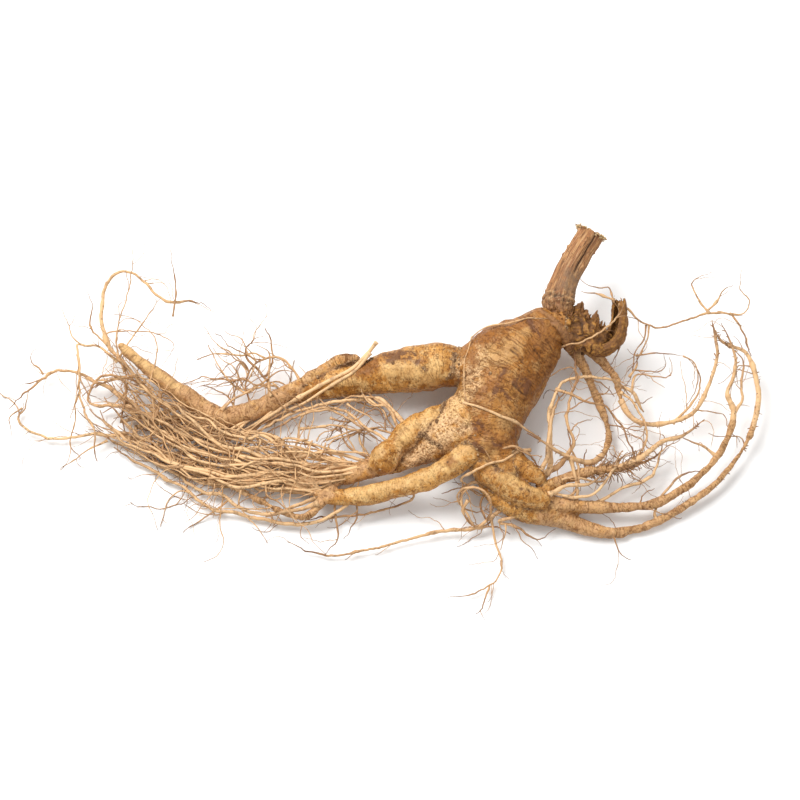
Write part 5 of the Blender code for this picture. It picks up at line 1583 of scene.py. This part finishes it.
@dataclass
class Tangle:
    """Fine rootlets that leave their hosts and stray among each other."""

    finishes: Finishes
    name: str
    hosts: Sequence[Sequence[Place]]
    count: int
    seed: int
    radius: tuple[float, float] = (0.24, 0.55)
    length: tuple[float, float] = (12.0, 40.0)
    # Which shares of a host the rootlets leave from
    stretch: tuple[float, float] = (0.15, 0.9)
    # How far they lean from it, in degrees
    lean: tuple[float, float] = (15.0, 80.0)
    bend: float = 0.075
    jitter: float = 0.17
    tones: tuple[float, float] = (0.0, 1.0)
    hair_every: float = 18.0

    def build(self) -> Object:
        """Make the rootlets and dress them."""
        draw = random.Random(self.seed)
        maker = RootletMaker(hair_bend=self.bend, hair_jitter=self.jitter, hair_spacing=1.5)
        strands = []
        for _ in range(self.count):
            host = smooth_route(draw.choice(self.hosts), 2.0)
            index = int(draw.uniform(*self.stretch) * (len(host) - 1))
            forward = tangents(host)[index]
            sideways = np.cross(forward, (0, 0, 1)) * draw.choice((-1, 1)) + (0, 0, draw.gauss(0, 0.25))
            heading = unit(leaning(forward, sideways, draw.uniform(*self.lean)))
            radius = draw.uniform(*self.radius)
            strand = maker.hair(host[index, :3], heading, radius, draw.uniform(*self.length), draw)
            strand[:, 3] *= 1 + 0.3 * noise_along(run_length(strand), 3.0, key=3.7 * len(strands))
            strands.append(strand)
        fine = RootletMaker()
        hairs = [hair for strand in strands for hair in fine.hairs_of(strand, draw, self.hair_every)]
        piece = bark_tubes(self.name, strands, 6, draw, 12.0, self.tones)
        add_hairs(piece, hairs, 4, draw)
        return dress(piece, self.finishes.rootlet, Slot.SKIN, ROOT_NODE)


@dataclass
class LegHairs:
    """The short side hairs along the outer part of the long legs."""

    finishes: Finishes
    names: tuple[str, ...] = ("right_leg", "second_right_leg", "third_right_leg", "crown_root",
                              "second_crown_root", "kinked_toe")
    every: float = 1.9
    seed: int = 23

    def build(self) -> Object:
        """Make the hairs and dress them."""
        draw = random.Random(self.seed)
        maker = RootletMaker(hair_radius=0.3, hair_length=(0.8, 2.6), hair_spacing=0.5)
        hairs = []
        for name in self.names:
            route = smooth_route(FLESH[name], 1.2)
            hairs += maker.hairs_of(route[len(route) // 3:], draw, self.every)
        piece = bark_tubes("leg_hairs", hairs, 5, draw, 8.0, (0.3, 1.0))
        return dress(piece, self.finishes.rootlet, Slot.SKIN, ROOT_NODE)


@dataclass
class Crown:
    """The neck, the horn and the scales round the stalk's foot."""

    finishes: Finishes
    seed: int = 3
    knobs: int = 20
    voxel: float = 0.42
    lobe_size: float = 7.0
    shell_along: int = 64
    shell_around: int = 44
    shell_wall: float = 0.8
    foot_scales: int = 26
    neck_scales: int = 54
    scale_steps: int = 8

    def build(self) -> list[Object]:
        """Make the crown's pieces and dress them."""
        pieces = [self.neck(), self.horn(), self.ragged_scales()]
        return [dress(piece, self.finishes.crown, Slot.SKIN, ROOT_NODE) for piece in pieces]

    def neck(self) -> Object:
        """The gnarled neck, a heap of lumps run together."""
        draw = random.Random(self.seed)
        route = smooth_route(NECK, 1.0)
        inner = route.copy()
        inner[:, 3] *= 0.8
        balls = list(vectors(NECK_LUMPS))
        for _ in range(self.knobs):
            middle = route[int(draw.uniform(0.1, 0.97) * (len(route) - 1))]
            turn = draw.uniform(-0.6, math.pi + 0.6)
            spoke = np.array([draw.uniform(-0.4, 0.4), math.cos(turn), math.sin(turn)])
            radius = draw.uniform(1.0, 2.6)
            balls.append(np.array([*(middle[:3] + spoke * (middle[3] - 0.6 * radius)), radius]))
        routes = [rounded_ends(inner), rounded_ends(smooth_route(COLLAR, 1.0))]
        for ball in balls:
            short = np.vstack([ball - (0.15, 0, 0, 0), ball + (0.15, 0, 0, 0)])
            routes.append(rounded_ends(short, (25, 45, 60, 75, 84)))
        piece = sweep("crown_neck", routes, 14)
        blend(piece, self.voxel, 3)
        places = coordinates(piece.data)
        swirl = np.column_stack([noise_at(places, 3.2, shift) for shift in (1.5, 8.5, 15.5)])
        cells = (places + 1.5 * swirl) / self.lobe_size
        nearest = np.array([noise.voronoi(place)[0][:2] for place in cells.tolist()])
        seams = ramp(nearest[:, 0] - nearest[:, 1], -0.28, 0)
        husk = ramp(-path_distance(places, COLLAR), -4.2, -2.6)
        seams *= (0.3 + 0.7 * ramp(noise_at(places, 6.5, 4.2), -0.3, 0.3)) * (1 - 0.7 * husk)
        threads = np.abs(noise_at(places * (1.0, 0.45, 1.0), 0.9, 7.3))
        height = -0.9 * seams + 0.5 * noise_at(places, 2.6, 1.1)
        height += 0.25 * noise_at(places, 1.1)
        height -= 0.4 * threads
        for dent in NECK_DENTS:
            height -= 0.7 * spot(places, dent, 0.0, 1.3)
        set_coordinates(piece.data, places + vertex_normals(piece.data) * height[:, None])
        self.shade(piece.data, 16, 1.0, seams * 0.6)
        set_attributes(piece.data, husk=husk)
        return piece

    def shade(self, mesh: Mesh, rounds: int, top: float, seams: Any = 0.0) -> None:
        """Store the painted shade in a gnarled piece's folds and the painted highlight on its lumps, where
        they stand out.

        Args:
            mesh: The piece's mesh.
            rounds: How wide the folds are that count.
            top: How light the painted highlight on its lumps is, from 0 to 1.
            seams: How strongly each vertex lies in a seam between lobes, which is painted dark as shade.
        """
        fold = hollowness(mesh, rounds)
        set_attributes(mesh, fold=np.maximum(ramp(fold, 0.05, 0.45), seams),
                       top=top * ramp(-fold, -0.05, 0.3))

    def horn(self) -> Object:
        """The hollow horn, a curled shell of bark with a frayed tip."""
        route = smooth_route(HORN, 0.5)
        length = run_length(route)
        piece = added("crown_horn", bpy.ops.mesh.primitive_grid_add, x_subdivisions=self.shell_along,
                      y_subdivisions=self.shell_around, size=1)
        flat = coordinates(piece.data) * MM + 0.5
        share, turn = np.clip(flat[:, 0], 0, 1), np.clip(flat[:, 1], 0, 1)
        ragged = np.array([noise.noise((7 * t, 2.2, 0)) for t in turn.tolist()])
        fray = np.array([abs(noise.noise((22 * t, 6.1, 0))) for t in turn.tolist()])
        run = np.clip(share * (length[-1] - 1.0 + 2.2 * ragged) - 6.5 * fray * share ** 10, 0, length[-1])
        lanes = np.hstack([route, tangents(route)])
        lane = np.column_stack([np.interp(run, length, values) for values in lanes.T])
        centre, radius, ahead = lane[:, :3], lane[:, 3:4], lane[:, 4:]
        outer = unit_rows(np.cross(ahead, (0, 0, 1)))
        upward = np.cross(outer, ahead)
        # The shell curls round from below and from the right, and is open towards the neck
        angle = np.radians(-175 + 262 * turn)
        spoke = outer * np.cos(angle)[:, None] + upward * np.sin(angle)[:, None]
        places = centre + spoke * radius
        lines = np.column_stack([angle * 5, run / 5, angle * 0])
        ridges = 0.55 * noise_at(lines, 1.0, 3.9) + 0.35 * noise_at(places, 1.4, 3.9)
        ridges += 0.5 * noise_at(places, 3.8)
        lips = 0.9 * (ramp(turn, 0.86, 1.0) + ramp(-turn, -0.1, 0.0))
        set_coordinates(piece.data, places + spoke * (ridges - lips)[:, None])
        wall = piece.modifiers.new("wall", "SOLIDIFY")
        wall.thickness = self.shell_wall * MM
        wall.offset = -1
        apply_modifiers(piece)
        close_ends(piece.data)
        places = coordinates(piece.data)
        grain = noise_at(places, 0.9, 2.6)[:, None]
        set_coordinates(piece.data, places + vertex_normals(piece.data) * 0.2 * grain)
        self.shade(piece.data, 10, 0.55)
        return piece

    def ragged_scales(self) -> Object:
        """Dry scales and flakes that stand off the neck and ring the stalk's foot."""
        draw = random.Random(self.seed + 1)
        neck = smooth_route(NECK, 1.0)
        scales = []
        for _ in range(self.foot_scales):
            turn = draw.uniform(0, 2 * math.pi)
            spoke = np.array([math.cos(turn), draw.uniform(-0.25, 0.1), math.sin(turn)])
            foot = np.array([21.8, 23.2 + draw.uniform(-1.5, 2.0), 24.4]) + spoke * draw.uniform(5.2, 6.4)
            heading = spoke * 0.4 + np.array([0, 1, 0.2]) * draw.uniform(0.3, 1.0)
            scales.append(self.scale(foot, heading, draw.uniform(1.4, 2.8), draw.uniform(0.4, 0.9), draw))
        for _ in range(self.neck_scales):
            middle = neck[int(draw.uniform(0.1, 1.0) * (len(neck) - 1))]
            turn = draw.uniform(0.0, 0.55 * math.pi)
            spoke = np.array([draw.uniform(-0.2, 0.3), math.cos(turn), math.sin(turn)])
            foot = middle[:3] + spoke * (middle[3] - 0.8)
            heading = spoke + np.array([0.2, 0.8, 0.1]) * draw.uniform(0.2, 1.0)
            scales.append(self.scale(foot, heading, draw.uniform(1.2, 3.8), draw.uniform(0.2, 0.65), draw))
        for foot, heading, size, width in FLAKES:
            scales.append(self.scale(vectors(foot), vectors(heading), size, width, draw))
        piece = sweep("crown_scales", scales, 8, 0.28)
        self.shade(piece.data, 2, 0.35)
        return piece

    def scale(self, foot: Array, heading: Array, size: float, width: float,
              draw: random.Random) -> Array:
        """One scale, which narrows and curls towards its tip.

        Args:
            foot: Where it grows from.
            heading: Which way it starts out.
            size: Its length.
            width: Half its width at the foot.
            draw: Where its random numbers come from.

        Returns:
            Its points, with their radius.
        """
        curl = gauss(draw, 0.12, 0.12, 0.14)
        last = self.scale_steps - 1
        rows = []
        for step in range(self.scale_steps):
            rows.append([*foot, width * (1 - step / last) ** 0.6 * draw.uniform(0.7, 1.2) + 0.12])
            heading = unit(heading) + curl
            foot = foot + unit(heading) * size / last
        return np.array(rows)


@dataclass
class Stalk:
    """The dead stalk, let into the crown, with a torn open end."""

    finishes: Finishes
    sides: int = 120
    spacing: float = 0.5
    ribs: int = 5
    rib_depth: float = 0.07
    rib_twist: float = 0.06
    groove_angle: float = 1.1
    groove_depth: float = 0.13
    groove_width: float = 0.42
    slit_depth: float = 0.12
    slit_width: float = 0.085
    carved_from: float = 29.0
    carved_over: float = 6.0
    hollow: float = 3.2
    hollow_steps: int = 4
    wall: float = 1.5
    fibres: int = 110
    fibre_steps: int = 9
    fibre_seed: int = 13
    scar: Place = (18.0, 31.0, 32.0)

    def build(self) -> list[Object]:
        """Make the stalk and its torn fibres, and dress them."""
        return [dress(self.body(), self.finishes.stalk, Slot.STALK, STALK_NODE),
                dress(self.torn_fibres(), self.finishes.fibre, Slot.STALK, STALK_NODE)]

    def body(self) -> Object:
        """The stalk itself."""
        route = smooth_route(STALK, self.spacing)
        tip, outward = route[-1], tangents(route)[-1]
        piece = sweep("stalk_body", [route], self.sides)
        self.hollow_end(piece, tip[:3], outward)
        mesh = piece.data
        length = run_length(route)
        places = coordinates(mesh)
        # The vertices past those of the tube's own rings are the hollow's
        hollow = len(places) - len(route) * self.sides
        sunk = (places[-hollow:] - tip[:3]) @ outward
        run = np.concatenate([np.repeat(length, self.sides), np.full(hollow, length[-1])])
        centre = np.vstack([np.repeat(route[:, :3], self.sides, axis=0), tip[:3] + outward * sunk[:, None]])
        sunken = np.clip(0.15 - sunk / self.hollow, 0, 1)
        depth = np.concatenate([np.zeros(len(route) * self.sides), sunken])
        up = centre[:, 1]
        spoke = places - centre
        radius = np.linalg.norm(spoke, axis=1)
        angle = np.arctan2(spoke[:, 2], spoke[:, 0]) - self.groove_angle
        angle = (angle + math.pi) % (2 * math.pi) - math.pi

        def wrapped(turns: float, rise: Array) -> Array:
            """Places round a cylinder, for noise that meets itself behind the stalk."""
            return np.column_stack([np.cos(angle) * turns, np.sin(angle) * turns, rise])

        winding = angle + 0.06 * noise_along(run, 7.0, 2.0)
        groove = bell(winding, self.groove_width) * ramp(up, 38, 48)
        slit = bell(winding, self.slit_width) * ramp(up, 38, 48)
        carved = ramp(up, self.carved_from, self.carved_from + self.carved_over)
        ribs = self.rib_depth * (0.5 + 0.5 * np.sin(self.ribs * angle + self.rib_twist * up)) * carved
        lines = wrapped(16, run / 9)
        height = noise_at(lines, 1.0) * 0.16 + noise_at(lines * (2.4, 2.4, 1.6), 1.0, 4.0) * 0.10
        ring = bell(up - 30.5, 3.4)
        height += (noise_at(places, 2.8, 5.5) * 0.5 + noise_at(places, 1.3, 8.2) * 0.28) * ring
        scar = path_distance(places, [self.scar])
        folds = up + 0.2 * spoke[:, 0] + 2.2 * noise_at(places, 5.0) + 1.5 * bell(scar, 3)
        height += 0.42 * np.sin(folds * 2.4) * ring
        height += np.clip(noise_at(places, 2.2, 1.7) - 0.42, 0, 1) * 2.6 * (1 - ring)
        height += noise_at(places, 7.0, 3.0) * 0.25
        height -= radius * (ribs + self.groove_depth * groove + self.slit_depth * slit)
        scar = scar + 0.7 * noise_at(places, 1.8, 3.1)
        rim_of_scar = bell(scar - 1.9, 0.65)
        height += 0.8 * rim_of_scar - 0.5 * ramp(-scar, -1.4, -0.3)
        height = height * (1 - 0.7 * depth) - 0.8 * depth
        rim = ramp(run, length[-1] - 1.5, length[-1])
        jagged = 1.6 * noise_at(wrapped(4, angle * 0), 1.0, 6.0)
        jagged += 0.9 * noise_at(wrapped(13, angle * 0), 1.0, 2.0)
        jagged -= 1.2 * groove
        places += spoke / radius[:, None] * height[:, None]
        places += outward * ((jagged - 0.4) * rim * (1 - depth))[:, None]
        set_coordinates(mesh, places)
        torn = np.maximum(ramp(run + 0.8 * jagged, length[-1] - 0.9, length[-1] + 0.2), depth)
        # Painted shade in the node ring's folds, the middle of the bud scar and the torn hollow, and in the
        # groove and its slit
        fold = ramp(hollowness(mesh, 6), 0.05, 0.26) * (0.35 + 0.65 * ring)
        set_attributes(mesh, along=run, around=np.cos(angle), across=np.sin(angle), node=ring,
                       groove=np.maximum(ramp(slit, 0.2, 0.8), ramp(groove, 0.5, 1.0) * 0.25),
                       dust=bell(up - 38, 7.5) * ramp(np.cos(angle + 0.15), 0.2, 0.9),
                       torn=np.maximum(torn * (1 - 0.75 * depth), 0.25 * rim_of_scar),
                       fold=np.max([fold, 0.35 * ramp(-scar, -1.3, -0.5), depth * 0.9], axis=0))
        return piece

    def hollow_end(self, piece: Object, tip: Array, outward: Array) -> None:
        """Sink the torn end, so that the stalk is open there.

        Args:
            piece: The stalk.
            tip: The middle of its torn end.
            outward: Which way that end faces.
        """
        activate(piece)
        bpy.ops.object.mode_set(mode="EDIT")
        bpy.ops.mesh.select_mode(type="FACE")
        bpy.ops.mesh.select_all(action="DESELECT")
        shape = bmesh.from_edit_mesh(piece.data)
        end = min(shape.faces, key=lambda face: (face.calc_center_median() / MM - Vector(tip)).length)
        end.select = True
        bmesh.update_edit_mesh(piece.data)
        bpy.ops.mesh.inset(thickness=self.wall * MM)
        for _ in range(self.hollow_steps):
            step = -outward * self.hollow / self.hollow_steps * MM
            bpy.ops.mesh.extrude_region_move(TRANSFORM_OT_translate={"value": step})
        bpy.ops.object.mode_set(mode="OBJECT")

    def torn_fibres(self) -> Object:
        """Curled fibres round the torn end."""
        draw = random.Random(self.fibre_seed)
        tip, inner = vectors(STALK[-1]), vectors(STALK[-2])
        outward = unit(tip[:3] - inner[:3])
        side = unit(np.cross(outward, (0, 0, 1)))
        upward = np.cross(side, outward)
        last = self.fibre_steps - 1
        fibres = []
        for _ in range(self.fibres):
            corner = draw.choice((0.35, 2.75, None))
            turn = draw.uniform(0, 2 * math.pi) if corner is None else corner + draw.gauss(0, 0.32)
            spoke = side * math.cos(turn) + upward * math.sin(turn)
            place = tip[:3] + spoke * tip[3] * draw.uniform(0.72, 0.98) - outward * draw.uniform(0.6, 2.2)
            heading = outward * draw.uniform(0.5, 1.0) + spoke * draw.uniform(0.0, 0.8)
            curl = side * draw.gauss(0, 0.45) + upward * draw.gauss(0, 0.45)
            curl -= outward * draw.uniform(0, 0.25)
            size = draw.uniform(0.9, 2.0) if corner is None else draw.uniform(1.6, 3.8)
            rows = []
            for step in range(self.fibre_steps):
                rows.append([*place, draw.uniform(0.16, 0.34) * (1.2 - 0.8 * step / last)])
                heading = unit(heading + curl)
                place = place + heading * size / last
            fibres.append(np.array(rows))
        return sweep("stalk_fibres", fibres, 5)


@dataclass
class Soil:
    """Crumbs of soil that stick in the folds of the skin."""

    finishes: Finishes
    skin: Object
    seed: int = 29
    crumbs: int = 700
    smallest: float = 0.16
    largest: float = 0.62
    # No crumb lies lower than this
    lowest: float = 7.0

    def build(self) -> Object:
        """Make the crumbs and dress them."""
        draw = random.Random(self.seed)
        mesh = self.skin.data
        soil = np.empty(len(mesh.vertices), dtype=np.float32)
        mesh.attributes[Stain.SOIL.value].data.foreach_get("value", soil)
        places, normals = coordinates(mesh), vertex_normals(mesh)
        total = np.cumsum(np.where((places[:, 2] > self.lowest) & (normals[:, 2] > -0.2), soil ** 2, 0))
        piece = added("soil_crumbs", bpy.ops.mesh.primitive_ico_sphere_add, subdivisions=2, radius=1)
        model = bmesh.new()
        model.from_mesh(piece.data)
        ball = bpy.data.meshes.new("crumb")
        heap = bmesh.new()
        for _ in range(self.crumbs):
            index = int(np.searchsorted(total, draw.uniform(0, total[-1])))
            size = self.smallest + (self.largest - self.smallest) * draw.random() ** 2.5
            stretch = Vector((draw.uniform(0.7, 1.4), draw.uniform(0.7, 1.4), draw.uniform(0.6, 1.0)))
            middle = Vector(places[index] + normals[index] * size * 0.3)
            shift = draw.uniform(0, 50)
            model.to_mesh(ball)
            for vertex in ball.vertices:
                swell = 1 + 0.5 * noise.noise(vertex.co * 1.6 + Vector((shift, 0, 0)))
                vertex.co = (middle + vertex.co * stretch * size * swell) * MM
            heap.from_mesh(ball)
        heap.to_mesh(piece.data)
        model.free()
        heap.free()
        bpy.data.meshes.remove(ball)
        return dress(piece, self.finishes.soil, Slot.SKIN, ROOT_NODE)


@dataclass
class Studio:
    """The floor, the lights and the camera."""

    finishes: Finishes
    # The middle of the view, which the camera sees from 70 degrees above the floor
    target: Place = (-0.0475, -0.0095, 0.008)
    elevation: float = 70.0
    distance: float = 1.5
    view_width: float = 0.352
    sensor: float = 36.0
    floor_size: float = 6.0
    key_power: float = 20.0
    fill_power: float = 5.0
    world_strength: float = 0.5

    def build(self) -> None:
        """Set up the floor, the lights and the camera."""
        floor = added("floor", bpy.ops.mesh.primitive_plane_add, size=self.floor_size)
        floor.data.materials.append(self.finishes.floor)
        self.light("key", (-0.55, 0.45, 1.05), 0.75, self.key_power)
        self.light("fill", (0.85, -0.35, 0.9), 1.1, self.fill_power)
        scene = bpy.context.scene
        scene.world = scene.world or bpy.data.worlds.new("studio")
        scene.world.use_nodes = True
        background = scene.world.node_tree.nodes["Background"]
        background.inputs["Color"].default_value = (1, 1, 1, 1)
        background.inputs["Strength"].default_value = self.world_strength
        scene.view_settings.view_transform = "Standard"
        tilt = math.radians(90 - self.elevation)
        place = Vector(self.target) + Vector((0, -math.sin(tilt), math.cos(tilt))) * self.distance
        camera = added("camera", bpy.ops.object.camera_add, location=place, rotation=(tilt, 0, 0))
        camera.data.sensor_width = self.sensor
        camera.data.lens = self.sensor * self.distance / self.view_width
        bpy.context.scene.camera = camera

    def light(self, name: str, place: Place, size: float, power: float) -> None:
        """A soft square light that faces the root."""
        lamp = added(name, bpy.ops.object.light_add, type="AREA", location=place)
        lamp.data.energy = power
        lamp.data.size = size
        lamp.rotation_euler = (Vector(self.target) - Vector(place)).to_track_quat("-Z", "Y").to_euler()


def main() -> None:
    """Build the root, its stalk and the studio."""
    logging.basicConfig(level=logging.INFO, format="%(name)s: %(message)s")
    finishes = Finishes()
    Studio(finishes).build()
    members = Members()
    skin = Flesh(finishes, members).build()
    tails = [members.thin(name) for name in FLESH if members.thin(name)]
    tail_maker = RootletMaker(slim=1.0, wander=0.35, kink=0.16, flare=0.0)
    Rootlets(finishes, "leg_tails", tails, 5, tail_maker, 10, hair_every=12.0).build()
    LegHairs(finishes).build()
    Bunch(finishes).build()
    Rootlets(finishes, "left_fan", LEFT_FAN, 101).build()
    Rootlets(finishes, "front_edge", FRONT_EDGE, 201).build()
    Rootlets(finishes, "arm_tuft", ARM_TUFT, 301, hair_every=11.0, tones=(0.2, 1.0)).build()
    Rootlets(finishes, "hip_loops", HIP_LOOPS, 401).build()
    Rootlets(finishes, "right_side", RIGHT_SIDE, 501, hair_every=13.0).build()
    threads = laid_on(skin, THREADS)
    thread_maker = RootletMaker(slim=1.0, wander=0.12, kink=0.08)
    Rootlets(finishes, "skin_threads", threads, 601, thread_maker, hair_every=30.0,
             tones=(0.0, 0.4)).build()
    Rootlets(finishes, "strays", STRAYS, 651, RootletMaker(slim=0.9), 6, hair_every=12.0).build()
    names = ("second_right_leg", "third_right_leg", "crown_root", "second_crown_root")
    stems = [FLESH["right_leg"][4:], *(FLESH[name] for name in names),
             *(RIGHT_SIDE[index] for index in (0, 1, 4, 7))]
    Tangle(finishes, "right_tangle", stems, 26, 801, (0.2, 0.4), (10.0, 34.0), bend=0.11, jitter=0.26,
           tones=(0.5, 1.0), hair_every=30.0).build()
    Tangle(finishes, "third_leg_tuft", [FLESH["third_right_leg"][2:6]], 150, 811, (0.16, 0.42), (3.5, 12.0),
           (0.0, 1.0), (2.0, 26.0), 0.12, 0.3, (0.8, 1.0), 60.0).build()
    bases = [*ARM_TUFT, *LEFT_FAN[2:5], *FRONT_EDGE[:2], FLESH["kinked_toe"], FLESH["middle_toe"],
             BUNCH_MIDDLE, BUNCH_BACK[2:], BUNCH_FRONT[:7]]
    Tangle(finishes, "left_tangle", bases, 74, 821, lean=(8.0, 70.0)).build()
    above = [[(x, y, z + 4.5) for x, y, z in guide[1:]] for guide in GUIDES]
    Tangle(finishes, "bunch_curls", above, 60, 841, (0.2, 0.42), (14.0, 44.0), (0.0, 0.8), (15.0, 100.0),
           0.13, 0.16, (0.0, 0.5), 60.0).build()
    Tangle(finishes, "hip_tangle", HIP_LOOPS[:5], 9, 831, (0.24, 0.45), (8.0, 24.0)).build()
    hair_maker = RootletMaker(slim=1.0, wander=0.8, kink=0.3, knot_swell=0.9, knots_every=8)
    Rootlets(finishes, "fine_hairs", HAIRS, 701, hair_maker, 6, hair_every=18.0, tones=(0.4, 1.0)).build()
    Crown(finishes).build()
    Stalk(finishes).build()
    Soil(finishes, skin).build()


if __name__ == "__main__":
    main()
